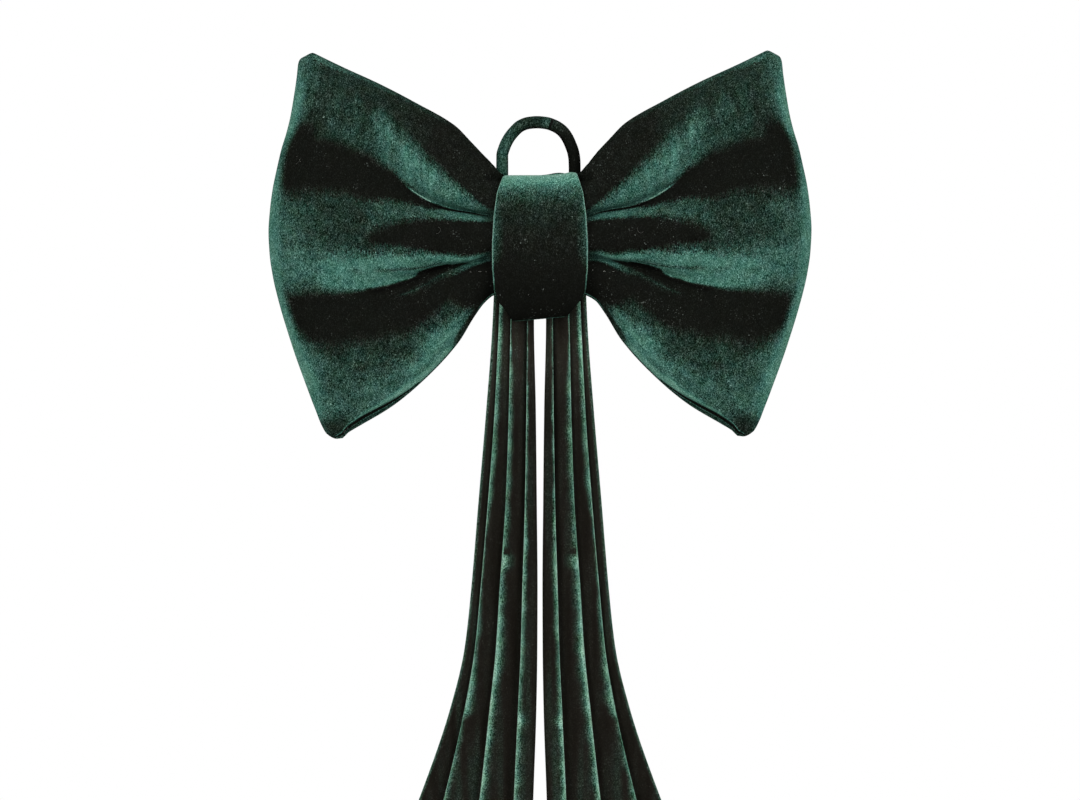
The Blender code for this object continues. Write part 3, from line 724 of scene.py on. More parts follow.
def knot_painted_light(share, half_width, height, flat_height, behind):
    """The painted light and shade across the strap. flat_height is its height without the rucks and the
    slant.
    """
    painted_light = np.interp(flat_height, *knot_shine)
    level, reach, upwards = KNOT_GLOW
    glow = level * np.exp(-(1 - np.abs(share)) * half_width / reach)
    painted_light = np.maximum(painted_light, glow * step(height, *upwards))
    level, edge, upwards = KNOT_RIM_HIGHLIGHT
    painted_light = raised(painted_light, level, step(np.abs(share), *edge) * step(height, *upwards))
    level, reach, half_length = KNOT_UNDERSIDE_HIGHLIGHT
    underside_highlight = np.maximum(painted_light, level * np.exp(-(flat_height - knot_bottom) / reach))
    painted_light = np.where(np.abs(share * half_width) < half_length, underside_highlight, painted_light)
    if behind:
        level, more, *ends = BAND_BACK
        painted_light = np.minimum(painted_light, level + more * step(height, *ends))
        closing, width, level = BAND_CLOSING
        painted_light = np.where(np.abs(height - closing) < width, level, painted_light)
    return painted_light


across, up = PINCH_DEPTH + BAND_GAP, (PINCH_TOP - PINCH_BOTTOM) / 2 + BAND_GAP
band_back = BACK_FLAT + BAND_GAP
band_widths = columns(BAND_COLUMNS, BAND)
band_rows, band_painted_light, band_change = [], [], []
for turn in (np.arange(BAND_STATION_COUNT) + 0.5) / BAND_STATION_COUNT:
    sine, cosine = math.sin(2 * math.pi * turn), math.cos(2 * math.pi * turn)
    y = -across * math.copysign(abs(sine) ** (2 / BAND_POWER), sine)
    z = up * math.copysign(abs(cosine) ** (2 / BAND_POWER), cosine)
    outwards = np.array([
        math.copysign(abs(y / across) ** (BAND_POWER - 1) / across, y),
        math.copysign(abs(z / up) ** (BAND_POWER - 1) / up, z),
    ])
    if y > band_back:
        y, outwards = band_back, np.array([1.0, 0.0])
    outwards = outwards * BAND_THICKNESS / np.linalg.norm(outwards)
    middle_z = (PINCH_TOP + PINCH_BOTTOM) / 2 + z
    front = min(1.0, max(0.0, 0.5 - y / across))
    back_half, front_half = (
        float(np.interp(middle_z + outwards[1], band_widths["z"], band_widths[name]))
        for name in ("back_half_width", "front_half_width")
    )
    half_width = back_half + (front_half - back_half) * front
    crowded, even = np.cos(np.linspace(0, math.pi, STRAP_POINTS)), np.linspace(1, -1, STRAP_POINTS)
    across_face = crowded * STRAP_CROWDING + even * (1 - STRAP_CROWDING)
    edge_push, more_push, flatness = STRAP_CROWN
    face_push = edge_push + more_push * np.sqrt(1 - np.abs(across_face) ** flatness)
    share, push = np.concatenate([np.stack([across_face, face_push], axis=1), STRAP_INSIDE]).T
    x = share * half_width
    lower, upper = max(0.0, -cosine) ** 4, max(0.0, cosine) ** 4
    ruck, ruck_reach, ruck_height = TOP_RUCK if y < 0 else BACK_RUCK
    lift = upper * ruck_height * near(x, ruck, ruck_reach) + BAND_SLANT * x * lower
    height = middle_z + push * outwards[1] + lift
    band_rows.append(np.stack([x, BOW_Y + y + push * outwards[0], height], axis=1))
    band_painted_light.append(knot_painted_light(share, half_width, height, height - lift, behind=y > 0))
    spans = (CHANGE_SPAN / 2, -CHANGE_SPAN / 2)
    above, below = (np.interp(height - lift + span, *knot_shine) for span in spans)
    band_change.append((above - below) / CHANGE_SPAN)

knot = velvet_mesh("velvet_knot", band_rows, {"painted_light": band_painted_light, "change": band_change}, closed_ends=True)
finish_piece(knot, velvet("knot_pile"), "knot_velvet", "knot_band")

# ---------------------------------------------------------------------------------------------
# The hanging loop: a narrow tube of velvet turned right side out, and sewn to the knot's back.
# ---------------------------------------------------------------------------------------------
LOOP_SIDES = 32
LOOP_STEP = 0.0005
LOOP_CREASE = (0.10, 0.22)  # the seam along the inside draws the tube in: how much, and how far round
LOOP_SHADE = (0.35, 1.2, 0.5)  # and its pile is darker there: how much, from where round to where
# The loop's middle line, from its left foot over the top to its right foot: x, z and half its width.
LOOP = (
    (-0.0208, -0.058, 0.00335), (-0.0208, -0.04, 0.0034), (-0.0208, -0.023, 0.00345),
    (-0.0208, -0.0145, 0.0034), (-0.0195, -0.0096, 0.00335), (-0.0173, -0.0051, 0.00335),
    (-0.0143, -0.0012, 0.00335), (-0.0107, 0.002, 0.00345), (-0.0063, 0.0036, 0.0035),
    (-0.0016, 0.004, 0.00352), (0.0031, 0.0036, 0.00352), (0.0078, 0.0021, 0.0035),
    (0.012, -0.0006, 0.00348), (0.0149, -0.0043, 0.00345), (0.017, -0.0088, 0.00342),
    (0.0184, -0.013, 0.00342), (0.019, -0.0175, 0.00342), (0.0191, -0.023, 0.0034),
    (0.0191, -0.04, 0.0033), (0.0191, -0.058, 0.0032),
)
# The loop's painted shine, from its left leg to its right: x and level. A seam crosses it near the top.
LOOP_SHINE = (
    (-0.021, 0.8), (-0.019, 0.72), (-0.015, 0.56), (-0.011, 0.46), (-0.006, 0.4), (0.0, 0.42),
    (0.004, 0.56), (0.0052, 0.52), (0.0056, 0.17), (0.0064, 0.17), (0.007, 0.34), (0.012, 0.27),
    (0.0165, 0.22), (0.0191, 0.19),
)

loop_line = np.array(LOOP)
loop_at = np.concatenate([[0], np.cumsum(np.linalg.norm(np.diff(loop_line[:, :2], axis=0), axis=1))])
loop_places = np.arange(0, loop_at[-1], LOOP_STEP)
loop_x, loop_z, loop_radius = (smooth(loop_places, loop_at, loop_line[:, i]) for i in range(3))
loop_shine = np.array(LOOP_SHINE).T
loop_rows, loop_painted_light = [], []
for i, (x, z, radius) in enumerate(zip(loop_x, loop_z, loop_radius)):
    before, after = max(0, i - 2), min(len(loop_x) - 1, i + 2)
    along = np.array([loop_x[after] - loop_x[before], loop_z[after] - loop_z[before]])
    inwards = np.array([along[1], -along[0]]) / np.linalg.norm(along)
    angle = np.linspace(0, 2 * math.pi, LOOP_SIDES, endpoint=False)
    turned = np.minimum(angle, 2 * math.pi - angle)
    crease, crease_reach = LOOP_CREASE
    reach = radius * (1 - crease * near(turned, 0, crease_reach))
    offset = reach * np.cos(angle)
    row = np.stack([x + inwards[0] * offset, -reach * np.sin(angle), z + inwards[1] * offset], axis=1)
    ends = min(1.0, min(i, len(loop_x) - 1 - i) * LOOP_STEP / radius)
    loop_rows.append([x, 0, z] + (row - [x, 0, z]) * math.sqrt(1 - (1 - ends) ** 2))
    shade, *shade_ends = LOOP_SHADE
    loop_painted_light.append(np.interp(x, *loop_shine) * (1 - shade * step(turned, *shade_ends)))
loop = velvet_mesh("velvet_loop", loop_rows, {"painted_light": loop_painted_light})
finish_piece(loop, velvet("loop_pile"), "loop_velvet", "hanging_loop")

# ---------------------------------------------------------------------------------------------
# The tails: two strips of velvet in knife pleats, sewn behind the knot with their folds turned
# outwards, so that they fan out towards their hems.
# ---------------------------------------------------------------------------------------------
TAIL_THICKNESS = 0.0016
TAIL_FRONT_Y = -0.0024
TAIL_HEM_LIFT = 0.009
TAIL_STATION_COUNT = 190
TAIL_ROUNDING = 3
FOLD_LEAN, FOLD_LEAN_LIMIT = 0.42, 0.0042
# The corners of a pleat, round its fold: how far before the fold each lies, in widths of its own face,
# how far past it, in widths of the next face, whether it leans inwards, a shift, and how deep it lies.
FOLD = (
    (0.16, 0.0, 0, 0.0, 0.0),
    (0.0, 0.0, 0, 0.0000, 0.02),
    (0.0, 0.0, 0, -0.0003, 0.30),
    (0.0, 0.0, 1, 0.0, 0.98),
    (0.0, 0.0, 1, 0.0026, 1.02),
    (0.0, 0.22, 0, 0.0, 0.42),
)
INNER_EDGE_DEPTHS, OUTER_EDGE_DEPTHS, OUTER_EDGE_TURN = (0.34, 0.16), (0.04, 0.10), 0.0012
TAIL_EDGES = ("inner_edge", "fold_1", "fold_2", "fold_3", "outer_edge")
TAIL_COLUMNS = ("z", *TAIL_EDGES, "pleat_depth")
TAIL = (
    (-0.0620, 0.0040, 0.0064, 0.0146, 0.0205, 0.0242, 0.0070),
    (-0.1080, 0.0039, 0.0064, 0.0156, 0.0222, 0.0260, 0.0080),
    (-0.1550, 0.0028, 0.0068, 0.0166, 0.0244, 0.0294, 0.0090),
    (-0.2050, 0.0022, 0.0076, 0.0183, 0.0280, 0.0336, 0.0100),
    (-0.2545, 0.0017, 0.0091, 0.0217, 0.0322, 0.0377, 0.0105),
    (-0.2876, 0.0018, 0.0100, 0.0238, 0.0354, 0.0414, 0.0110),
    (-0.3206, 0.0023, 0.0115, 0.0272, 0.0410, 0.0492, 0.0112),
    (-0.3675, 0.0039, 0.0137, 0.0324, 0.0516, 0.0649, 0.0115),
    (-0.4200, 0.0056, 0.0160, 0.0396, 0.0655, 0.0855, 0.0120),
    (-0.4800, 0.0078, 0.0185, 0.0478, 0.0800, 0.1065, 0.0120),
)


def tail_section(edges, depth):
    """The pleats seen from above: out from the middle and back from the front, with rounded corners."""
    inner, folds, outer = edges[0], edges[1:-1], edges[-1]
    places = (inner, 0.5 * (inner + folds[0]))
    corners = [(place, back * depth) for place, back in zip(places, INNER_EDGE_DEPTHS)]
    for number, fold in enumerate(folds):
        face, following = fold - edges[number], edges[number + 2] - fold
        lean = min(FOLD_LEAN * face, FOLD_LEAN_LIMIT)
        for before, after, leans, shift, back in FOLD:
            corners.append((fold - before * face + after * following - leans * lean + shift, back * depth))
    places = (outer - OUTER_EDGE_TURN, outer)
    corners += [(place, back * depth) for place, back in zip(places, OUTER_EDGE_DEPTHS)]
    line = np.array(corners)
    for _ in range(TAIL_ROUNDING):
        cut = np.stack([0.75 * line[:-1] + 0.25 * line[1:], 0.25 * line[:-1] + 0.75 * line[1:]], axis=1)
        line = np.concatenate([line[:1], cut.reshape(-1, 2)[1:-1], line[-1:]])
    return line


# Painted shade: the level just past a fold, in its shade, and the faces' level further on.
FACE_PAINTED_SHADE = (0.31, 0.29, 0.0045)  # just past a fold, further on, and how soon it is reached
FACE_BEGINS = 0.006  # how far past a crest the next face is seen
FACE_DRIFT = (0.0050, 0.0600, 0.045)  # the faces' tone wanders: over what width and length, by how much
# A painted highlight along each tail's outer edge: its level and reach.
EDGE_PAINTED_HIGHLIGHT = (1.00, 0.0011)
CREST = 0.0003  # how far behind its crest a fold still counts as the front
CREST_SHARE = 0.36  # of a shine's reach, the part that is whole
CREST_GAIN = 1.45
REACH_SHARE = 0.50
SHINE_FADE = (1.1, 2.2, 0.0014, 0.0008)  # how suddenly a wide and a narrow shine end, and the reach of each
BEADS = (0.0110, 0.10, 0.20)  # the shine comes and goes along a fold: over what length, in level, in reach
# The dent is shown only by painting: its fold's painted highlight changes level and reach there.
DIMPLE = (1, -0.2392, 0.0042, 1.35, 0.0022)  # a dent in one fold: which, where, how long, level, reach
DIMPLE_SHADOW = (-0.2336, 0.0016, 0.0012, 0.0042, 0.08)  # above it: where, how long, from, to, level
# A painted highlight on the very crest of each fold:
CREST_PAINTED_HIGHLIGHT = (1.0, 0.0005, 1.5)  # the very crest is brightest: how much more, how far, how suddenly it ends
# Where the next face comes out from under a fold, painted fill light brightens the fold's shade: how much,
# how far, how suddenly.
FOLD_PAINTED_FILL = (5.5, 0.0016, 1.2)
# Painted fill light brightens the tails' tops, which lie in shade behind the knot:
TOP_PAINTED_FILL = (1.1, -0.165, -0.110)  # and all of it is behind the knot: how much, from and to what height
# The middle of each face is lighter lower down: at each height, from the innermost face outwards.
SHEEN_WIDTH = 0.36  # in face widths
FACE_SHEEN = (
    (-0.48, 0.1, 0.05, 0.08, 0.02), (-0.36, 0.12, 0.05, 0.09, 0.02), (-0.33, 0.1, 0.0, 0.02, 0.01),
    (-0.3, 0.08, 0.0, 0.0, 0.0), (-0.25, 0.04, 0.0, 0.0, 0.0), (-0.18, 0.06, 0.0, 0.0, 0.0),
    (-0.06, 0.04, 0.0, 0.0, 0.0),
)
# The shine along each fold: its level and how far it reaches in over the face, at each height.
FOLD_SHINE_COLUMNS = ("z", "level", "reach")
FOLD_SHINE = (
    (
        (-0.48, 1.25, 0.0022), (-0.348, 1.4, 0.0021), (-0.332, 1.36, 0.0019), (-0.327, 1.4, 0.0034),
        (-0.322, 1.32, 0.0017), (-0.282, 1.4, 0.0015), (-0.249, 1.65, 0.0016), (-0.216, 1.65, 0.0011),
        (-0.183, 1.85, 0.0008), (-0.15, 1.85, 0.0007), (-0.117, 1.6, 0.0004), (-0.062, 1.0, 0.0004),
    ),
    (
        (-0.48, 1.25, 0.0024), (-0.348, 1.3, 0.0024), (-0.315, 1.45, 0.0025), (-0.282, 1.2, 0.0032),
        (-0.249, 1.05, 0.0021), (-0.216, 1.05, 0.0018), (-0.183, 0.95, 0.002), (-0.15, 1.05, 0.0016),
        (-0.117, 1.3, 0.0008), (-0.062, 1.15, 0.0008),
    ),
    (
        (-0.48, 1.15, 0.0024), (-0.348, 1.12, 0.0018), (-0.3262, 1.05, 0.0012), (-0.3232, 1.09, 0.0035),
        (-0.306, 1.13, 0.0029), (-0.296, 1.25, 0.002), (-0.282, 1.32, 0.0016), (-0.249, 1.8, 0.001),
        (-0.216, 1.9, 0.0011), (-0.183, 1.02, 0.002), (-0.15, 1.15, 0.0014), (-0.117, 1.4, 0.0013),
        (-0.062, 1.2, 0.0012),
    ),
)


def face_painted_light(line, edges, z, side):
    """The painted level of the faces between the folds: dark, with random drift and a painted sheen in their
    middles lower down.
    """
    _, face, _ = FACE_PAINTED_SHADE
    wide, long, drift = FACE_DRIFT
    place = np.stack([line[:, 0] / wide, 0 * line[:, 0], np.full(len(line), z / long)], axis=1)
    face = face + drift * waves(place, 1.0, side + 41)
    sheen_z, *sheens = np.array(FACE_SHEEN).T
    for inner, outer, sheen in zip(edges, edges[1:], sheens):
        middle = near(line[:, 0], (inner + outer) / 2, SHEEN_WIDTH * (outer - inner))
        face = face + float(np.interp(z, sheen_z, sheen)) * middle
    return face


def inwards_from_crest(line, along, crest):
    """How far inwards of a fold's crest each point lies along the cloth. The crest lies between points."""
    bend = line[crest - 1 : crest + 2, 0]
    shift = 0.5 * (bend[0] - bend[2]) / (bend[0] - 2 * bend[1] + bend[2])
    spacing = along[crest + 1] - along[crest] if shift > 0 else along[crest] - along[crest - 1]
    return along[crest] + shift * spacing - along


def fading(distance, most, reach, power):
    """The most at no distance, fading out about its reach. The power says how suddenly."""
    return most * np.exp(-((np.clip(distance, 0, None) / reach) ** power))


def fold_shine(number, z, side):
    """A fold's shine at a height: its level, its reach, how much of that is whole, how suddenly it ends."""
    shine = columns(FOLD_SHINE_COLUMNS, FOLD_SHINE[number])
    level, whole_reach = (float(np.interp(z, shine["z"], shine[name])) for name in FOLD_SHINE_COLUMNS[1:])
    length, uneven_level, uneven_reach = BEADS
    place = np.array([[0.0, 0.0, z]])
    bead, other = (float(waves(place, length, side + seed + number)[0]) for seed in (21, 31))
    level = level * CREST_GAIN * (1 + uneven_level * bead)
    reach = whole_reach * REACH_SHARE * (1 + uneven_reach * other)
    dimpled, dimple_z, dimple_length, dimple_level, dimple_reach = DIMPLE
    if number == dimpled:
        dented = near(z, dimple_z, dimple_length, 4)
        level = towards(level, dimple_level * CREST_GAIN, dented)
        reach = towards(reach, dimple_reach, dented)
    slow, sudden, *reaches = SHINE_FADE
    fade = towards(slow, sudden, float(step(whole_reach, *reaches)))
    return level, reach, CREST_SHARE * whole_reach, fade


def tail_painted_light(line, edges, z, side):
    """The painted light and shade of a tail, and the painted light that the material adds on top. A painted
    highlight lies on the outward roll of each fold and fades in over its face, and painted shade is darkest
    in the fold behind it."""
    along = np.concatenate([[0], np.cumsum(np.linalg.norm(np.diff(line, axis=0), axis=1))])
    dark, _, soon = FACE_PAINTED_SHADE
    face = face_painted_light(line, edges, z, side)
    painted_light, lift = face, np.zeros(len(line))
    turns_back = np.flatnonzero((np.diff(line[:-1, 0]) > 0) & (np.diff(line[1:, 0]) <= 0)) + 1
    for number, crest in enumerate(turns_back[: len(FOLD_SHINE)]):
        level, reach, whole, fade = fold_shine(number, z, side)
        before = inwards_from_crest(line, along, crest)
        in_front = before >= -CREST
        glow = face + fading(before - whole, level - face, reach, fade)
        past = towards(dark, face, step(-before, FACE_BEGINS, FACE_BEGINS + soon))
        painted_light = np.where(in_front, np.maximum(painted_light, glow), past)
        crest_highlight = min(level / CREST_GAIN, 1.0) * fading(before, *CREST_PAINTED_HIGHLIGHT)
        fold_fill = fading(line[:, 0] - line[crest, 0], *FOLD_PAINTED_FILL)
        lift = np.where(in_front, np.maximum(lift, crest_highlight), fold_fill)
        if number == DIMPLE[0]:
            place, long, close, far, shadow = DIMPLE_SHADOW
            painted_light = towards(painted_light, shadow, near(z, place, long, 4) * (before > close) * (before < far))
    more, low, high = TOP_PAINTED_FILL
    painted_light = np.maximum(painted_light, fading(along[-1] - along, *EDGE_PAINTED_HIGHLIGHT, 1))
    return painted_light, lift + more * float(step(z, low, high))


tail_table = columns(TAIL_COLUMNS, TAIL[::-1])
tail_top, tail_hem, top_depth, widest = TAIL[0][0], TAIL[-1][0], TAIL[0][-1], TAIL[-1][-2]
for name, side, node in (("left_tail", -1, "tail_left"), ("right_tail", 1, "tail_right")):
    rows, painted_lights, painted_fills = [], [], []
    for z in np.linspace(tail_top, tail_hem, TAIL_STATION_COUNT):
        at = np.array([z])
        edges = [float(smooth(at, tail_table["z"], tail_table[edge])[0]) for edge in TAIL_EDGES]
        depth = float(smooth(at, tail_table["z"], tail_table["pleat_depth"])[0])
        line = tail_section(edges, depth)
        lift = TAIL_HEM_LIFT * ((z - tail_top) / (tail_hem - tail_top)) ** 3 * (line[:, 0] / widest) ** 2
        front = TAIL_FRONT_Y - 0.5 * (depth - top_depth)
        rows.append(np.stack([side * line[:, 0], front + line[:, 1], z + lift], axis=1))
        # From here lift holds painted light, which the material adds to the pile's colour.
        painted_light, lift = tail_painted_light(line, edges, z, side)
        painted_lights.append(painted_light)
        painted_fills.append(lift)
    tail = velvet_mesh("velvet_" + name, rows, {"painted_light": painted_lights, "lift": painted_fills}, closed_rows=False)
    cloth = tail.modifiers.new("cloth", "SOLIDIFY")
    cloth.thickness = TAIL_THICKNESS
    cloth.offset = 0.0
    cloth.use_even_offset = True
    pile = velvet(name + "_pile", TAIL_TONES, TAIL_GRAIN, drift=0.12, specks=0.4, streak=(1.35, 1.0, 1.0))
    finish_piece(tail, pile, "tail_velvet", node)

# ---------------------------------------------------------------------------------------------
# The sewing: dark thread worked by hand. Small stitches close the band behind the knot, hold the
# loop's feet and the tails' tops, and keep the hems turned up.
# ---------------------------------------------------------------------------------------------
THREAD_RADIUS = 0.00020
STITCH_LENGTH = 0.0019
STITCH_PITCH = 0.0029
HEM_DEPTH = 0.008
TOP_DEPTH = 0.004
FOOT_ROWS = (-0.0535, -0.0558)
FOOT_OVERLAP = 0.3
CLOSING_HALF = 0.0150
THREAD_PLACE = 1.08  # on the band's back, in its thicknesses
DEPTH_STEP = 0.0016  # where a face steps more than this in depth, a line over it is broken
SAMPLES = 60


def tree_with(name, sizes, taken, given):
    """An empty tree with a geometry in, one named input for each size, and a geometry out."""
    tree = bpy.data.node_groups.new(name, "GeometryNodeTree")
    tree.interface.new_socket(taken, in_out="INPUT", socket_type="NodeSocketGeometry")
    keys = {}
    for label in sizes:
        socket = tree.interface.new_socket(label, in_out="INPUT", socket_type="NodeSocketFloat")
        keys[label] = socket.identifier
    tree.interface.new_socket(given, in_out="OUTPUT", socket_type="NodeSocketGeometry")
    return tree, keys


def finish_tree(tree, made, material, given):
    """Makes what a tree makes real, gives it its material and gives it out."""
    real = new_node(tree, "GeometryNodeRealizeInstances", {"Geometry": made})
    finish = new_node(tree, "GeometryNodeSetMaterial", {"Geometry": real, "Material": material})
    new_node(tree, "NodeGroupOutput", {given: finish})


def worked(name, mesh, tree, keys, sizes):
    """The plain mesh that a tree makes of a mesh, as a new piece."""
    guide = new_object(name + "_guide", mesh)
    modifier = guide.modifiers.new("work", "NODES")
    modifier.node_group = tree
    for label, size in sizes.items():
        modifier[keys[label]] = size
    made = bpy.data.meshes.new_from_object(guide.evaluated_get(bpy.context.evaluated_depsgraph_get()))
    bpy.data.objects.remove(guide)
    made.shade_smooth()
    return new_object(name, made)


def thread_finish(name, colour, twist_scale, paler=None):
    """Spun fibre: lighter and darker by turns along its twist. The attribute paler can scale its colour."""
    material, tree, finish = new_material(name, roughness=0.7, specular=0.2)
    place = new_node(tree, "ShaderNodeTexCoord").outputs["Object"]
    twist = new_node(
        tree,
        "ShaderNodeTexWave",
        {"Scale": twist_scale, "Distortion": 2.0, "Vector": place},
        bands_direction="DIAGONAL",
    ).outputs["Fac"]
    seen = new_node(tree, "ShaderNodeValToRGB", {"Fac": twist})
    dark, light = seen.color_ramp.elements
    dark.color, light.color = (*(0.55 * part for part in colour), 1.0), (*colour, 1.0)
    if paler:
        share = new_node(tree, "ShaderNodeAttribute", attribute_name=paler).outputs["Vector"]
        seen = new_node(tree, "ShaderNodeVectorMath", {0: seen, 1: share}, operation="MULTIPLY")
    tree.links.new(seen.outputs[0], finish["Base Color"])
    bump = new_node(tree, "ShaderNodeBump", {"Distance": 0.00008, "Height": twist})
    tree.links.new(bump.outputs[0], finish["Normal"])
    return material


def hand_stitches(thread):
    """A tree that sets a stitch at each pitch along a line."""
    sizes = {"Pitch": STITCH_PITCH, "Stitch length": STITCH_LENGTH, "Thread radius": THREAD_RADIUS}
    tree, keys = tree_with("hand_stitches", sizes, "Seam", "Stitches")
    taken = new_node(tree, "NodeGroupInput").outputs
    line = new_node(tree, "GeometryNodeMeshToCurve", {"Mesh": taken["Seam"]})
    pitch = {"Curve": line, "Length": taken["Pitch"]}
    places = new_node(tree, "GeometryNodeResampleCurve", pitch, mode="LENGTH")
    half = new_node(tree, "ShaderNodeMath", {0: taken["Stitch length"], 1: 0.5}, operation="MULTIPLY")
    thick = taken["Thread radius"]
    form = new_node(tree, "ShaderNodeCombineXYZ", {"X": half, "Y": thick, "Z": thick})
    ball = new_node(tree, "GeometryNodeMeshUVSphere", {"Segments": 8, "Rings": 6})
    stitch = new_node(tree, "GeometryNodeTransform", {"Geometry": ball, "Scale": form})
    way = new_node(tree, "GeometryNodeInputTangent")
    turned = new_node(tree, "FunctionNodeAlignRotationToVector", {"Vector": way}, axis="X")
    put = {"Points": places, "Instance": stitch, "Rotation": turned}
    finish_tree(tree, new_node(tree, "GeometryNodeInstanceOnPoints", put), thread, "Stitches")
    return tree, keys, sizes


def lies_on(piece, xs, zs, from_back):
    """Lines over a piece's face at these places, broken where it steps in depth."""
    seen = piece.evaluated_get(bpy.context.evaluated_depsgraph_get())
    far = 0.1 if from_back else -0.1
    lines, last = [[]], None
    for x, z in zip(xs, zs):
        hit, point, *_ = seen.ray_cast(Vector((x, far, z)), Vector((0, -far, 0)))
        if last is not None and (not hit or (point - last).length > DEPTH_STEP):
            lines.append([])
        last = point if hit else None
        if hit:
            lines[-1].append(point)
    return [line for line in lines if len(line) > 2]


thread_y = BOW_Y + band_back + THREAD_PLACE * BAND_THICKNESS
closing_xs = np.linspace(-CLOSING_HALF, CLOSING_HALF, SAMPLES)
sewing_lines = [[(x, thread_y, BAND_CLOSING[0]) for x in closing_xs]]
for foot_x, _, foot_radius in (LOOP[0], LOOP[-1]):
    arc = np.linspace(-FOOT_OVERLAP, math.pi + FOOT_OVERLAP, SAMPLES)
    xs, ys = foot_x + foot_radius * np.cos(arc), foot_radius * np.sin(arc)
    sewing_lines += [[(x, y, z) for x, y in zip(xs, ys)] for z in FOOT_ROWS]
for tail, side in ((bpy.data.objects["velvet_left_tail"], -1), (bpy.data.objects["velvet_right_tail"], 1)):
    _, inner, *_, outer, _ = TAIL[0]
    xs = side * np.linspace(inner, outer, SAMPLES)
    sewing_lines += lies_on(tail, xs, np.full(SAMPLES, tail_top - TOP_DEPTH), True)
    _, inner, *_, outer, _ = TAIL[-1]
    xs = side * np.linspace(inner, outer, 3 * SAMPLES)
    zs = tail_hem + HEM_DEPTH + TAIL_HEM_LIFT * (xs / widest) ** 2
    sewing_lines += lies_on(tail, xs, zs, True) + lies_on(tail, xs, zs, False)

seams = bpy.data.meshes.new("seams")
ends = np.cumsum([0] + [len(line) for line in sewing_lines])
edges = [(i, i + 1) for start, end in zip(ends, ends[1:]) for i in range(start, end - 1)]
seams.from_pydata([tuple(point) for line in sewing_lines for point in line], edges, [])
thread = thread_finish("dark_thread", (0.020, 0.050, 0.038), 900.0)
stitches = worked("hand_stitches", seams, *hand_stitches(thread))
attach(stitches, "root")

# ---------------------------------------------------------------------------------------------
# Lint: a few short curled fibres, off the cut edges of the velvet, that cling to the pile.
# ---------------------------------------------------------------------------------------------
FIBRE_RADIUS = 0.00005
FIBRE_LIFT = 0.0002
LINT_COLUMNS = ("x", "z", "size", "turn", "pale")
LINT = (
    (-0.1335, -0.0172, 0.0036, 5.2, 0.25), (-0.1305, -0.0192, 0.0013, 2.0, 0.4),
    (-0.056, -0.056, 0.0032, 5.4, 0.22), (-0.05, -0.0532, 0.0007, 1.1, 0.5),
    (-0.0326, -0.0792, 0.0008, 0.4, 1.0), (-0.038, -0.08, 0.0006, 2.9, 0.7),
    (-0.0292, -0.0795, 0.0005, 1.2, 0.6), (0.0292, -0.079, 0.0007, 1.9, 0.8),
    (0.0348, -0.0796, 0.0008, 3.7, 1.0), (0.0403, -0.0792, 0.0007, 0.2, 0.8),
    (0.056, -0.0573, 0.0032, 1.0, 0.22), (0.121, -0.036, 0.0012, 4.1, 0.4),
    (0.096, -0.0935, 0.001, 2.5, 0.3), (-0.108, -0.094, 0.0011, 3.3, 0.3),
    (-0.011, -0.059, 0.0006, 5.0, 0.5), (0.0075, -0.084, 0.0005, 0.9, 0.4),
    (-0.09, 0.003, 0.0008, 4.6, 0.3), (0.07, -0.0105, 0.0007, 3.0, 0.3),
    (-0.006, -0.0925, 0.0005, 2.2, 0.4),
)


def curled_fibres(fibre):
    """A tree that lays a curled fibre on each point, by its size and its turn."""
    sizes = {"Fibre radius": FIBRE_RADIUS, "Curl": 0.42, "Rise": 0.35}
    tree, keys = tree_with("curled_fibres", sizes, "Places", "Fibres")
    taken = new_node(tree, "NodeGroupInput").outputs
    spiral = {"Resolution": 22, "Start Radius": 0.15, "End Radius": 1.0}
    curl = new_node(tree, "GeometryNodeCurveSpiral", spiral)
    tree.links.new(taken["Curl"], curl.inputs["Rotations"])
    tree.links.new(taken["Rise"], curl.inputs["Height"])
    size, turn = (
        new_node(tree, "GeometryNodeInputNamedAttribute", {"Name": kept}) for kept in ("size", "turn")
    )
    way = new_node(tree, "ShaderNodeCombineXYZ", {"X": math.pi / 2, "Y": turn})
    put = {"Points": taken["Places"], "Instance": curl, "Rotation": way, "Scale": size}
    laid = new_node(tree, "GeometryNodeInstanceOnPoints", put)
    laid = new_node(tree, "GeometryNodeRealizeInstances", {"Geometry": laid})
    even = new_node(tree, "GeometryNodeSetCurveRadius", {"Curve": laid, "Radius": 1.0})
    profile = {"Resolution": 5, "Radius": taken["Fibre radius"]}
    tube = {"Curve": even, "Profile Curve": new_node(tree, "GeometryNodeCurvePrimitiveCircle", profile)}
    finish_tree(tree, new_node(tree, "GeometryNodeCurveToMesh", tube), fibre, "Fibres")
    return tree, keys, sizes


fibres = columns(LINT_COLUMNS, LINT)
places = bpy.data.meshes.new("lint_places")
points = []
for x, z in zip(fibres["x"], fibres["z"]):
    on = knot if abs(x) < KNOT_SIDE else bow
    points.append(on.ray_cast(Vector((x, -0.1, z)), Vector((0, 1, 0)))[1] - Vector((0, FIBRE_LIFT, 0)))
places.from_pydata(points, [], [])
for name in LINT_COLUMNS[2:]:
    places.attributes.new(name, "FLOAT", "POINT").data.foreach_set("value", fibres[name])
fibre = thread_finish("pale_fibre", (0.42, 0.43, 0.38), 1400.0, "pale")
lint = worked("lint", places, *curled_fibres(fibre))
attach(lint, "root")

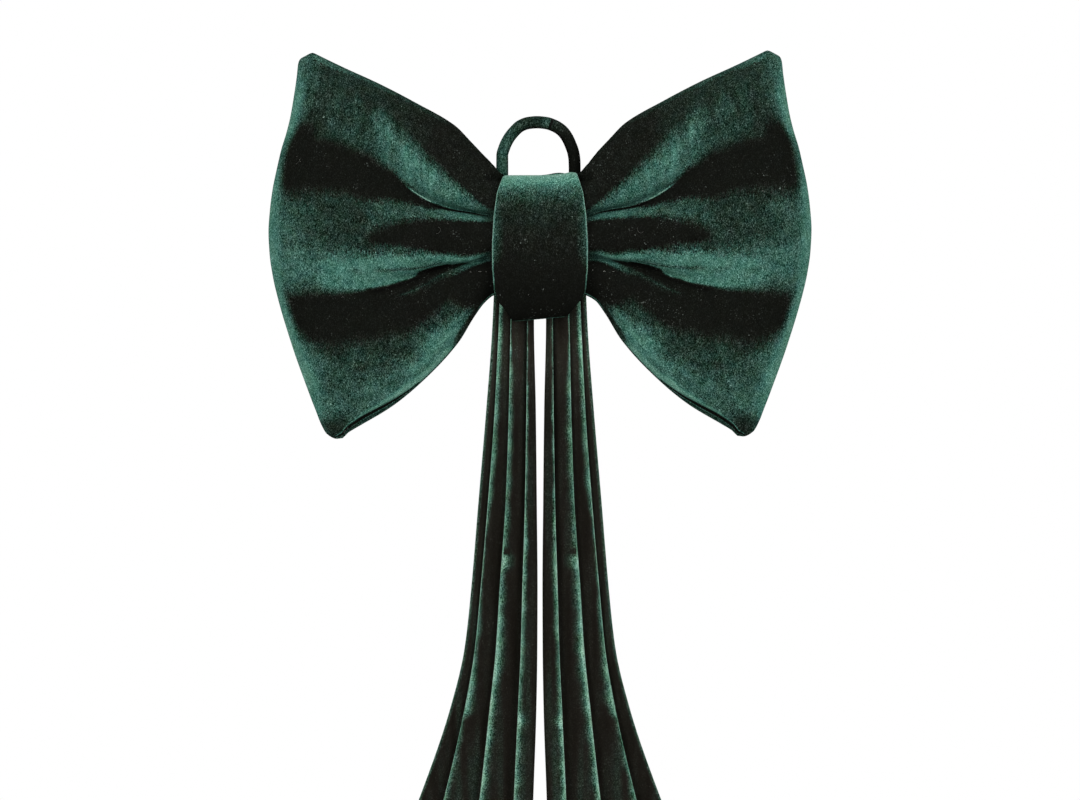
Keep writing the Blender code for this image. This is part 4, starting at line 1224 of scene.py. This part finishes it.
# ---------------------------------------------------------------------------------------------
# The stage: a pale floor below the hem, a white room, soft light from all sides and the camera.
# ---------------------------------------------------------------------------------------------
VIEW_CENTRE = Vector((0.0, -0.010, -0.1497))
VIEW_DISTANCE = 2.5
VIEW_WIDTH = 0.5956
SENSOR = 36.0
FLOOR_Z = -0.52
FLOOR_RADIUS = 0.8
ROOM_LIGHT = 0.55

bm = bmesh.new()
bmesh.ops.create_circle(bm, cap_ends=True, segments=96, radius=FLOOR_RADIUS)
floor_mesh = bpy.data.meshes.new("floor")
bm.to_mesh(floor_mesh)
bm.free()
floor_mesh.transform(Matrix.Translation((0, 0, FLOOR_Z)))
floor = new_object("floor", floor_mesh)
floor_paint, _, floor_finish = new_material("pale_floor", roughness=0.9, specular=0.5)
floor_finish["Base Color"].default_value = (0.8, 0.8, 0.79, 1)
floor_mesh.materials.append(floor_paint)

world = bpy.data.worlds.new("white_room")
world.use_nodes = True
bpy.context.scene.world = world
room = world.node_tree
path = new_node(room, "ShaderNodeLightPath").outputs["Is Camera Ray"]
# The room looks white to the camera, and throws a little less light on the bow.
level = new_node(room, "ShaderNodeMapRange", {"Value": path, "To Min": ROOM_LIGHT, "To Max": 1.0})
sky = room.nodes["Background"].inputs
sky["Color"].default_value = (1, 1, 1, 1)
room.links.new(level.outputs[0], sky["Strength"])

for name, place, size, power in (
    ("left_softbox", (-1.3, -1.4, 0.5), 1.2, 22.0),
    ("right_softbox", (1.3, -1.4, 0.5), 1.2, 22.0),
    ("top_softbox", (0.0, -0.5, 1.5), 1.2, 14.0),
    ("front_softbox", (0.0, -2.6, 0.0), 0.6, 16.0),
):
    lamp = bpy.data.lights.new(name, "AREA")
    lamp.shape = "DISK"
    lamp.size = size
    lamp.energy = power
    holder = new_object(name, lamp)
    holder.location = place
    holder.rotation_euler = (VIEW_CENTRE - Vector(place)).to_track_quat("-Z", "Y").to_euler()

lens = bpy.data.cameras.new("camera")
lens.sensor_width = SENSOR
lens.lens = SENSOR * VIEW_DISTANCE / VIEW_WIDTH
camera = new_object("camera", lens)
camera.location = VIEW_CENTRE - Vector((0, VIEW_DISTANCE, 0))
camera.rotation_euler = (math.pi / 2, 0, 0)
bpy.context.scene.camera = camera
bpy.context.scene.view_settings.view_transform = "Standard"
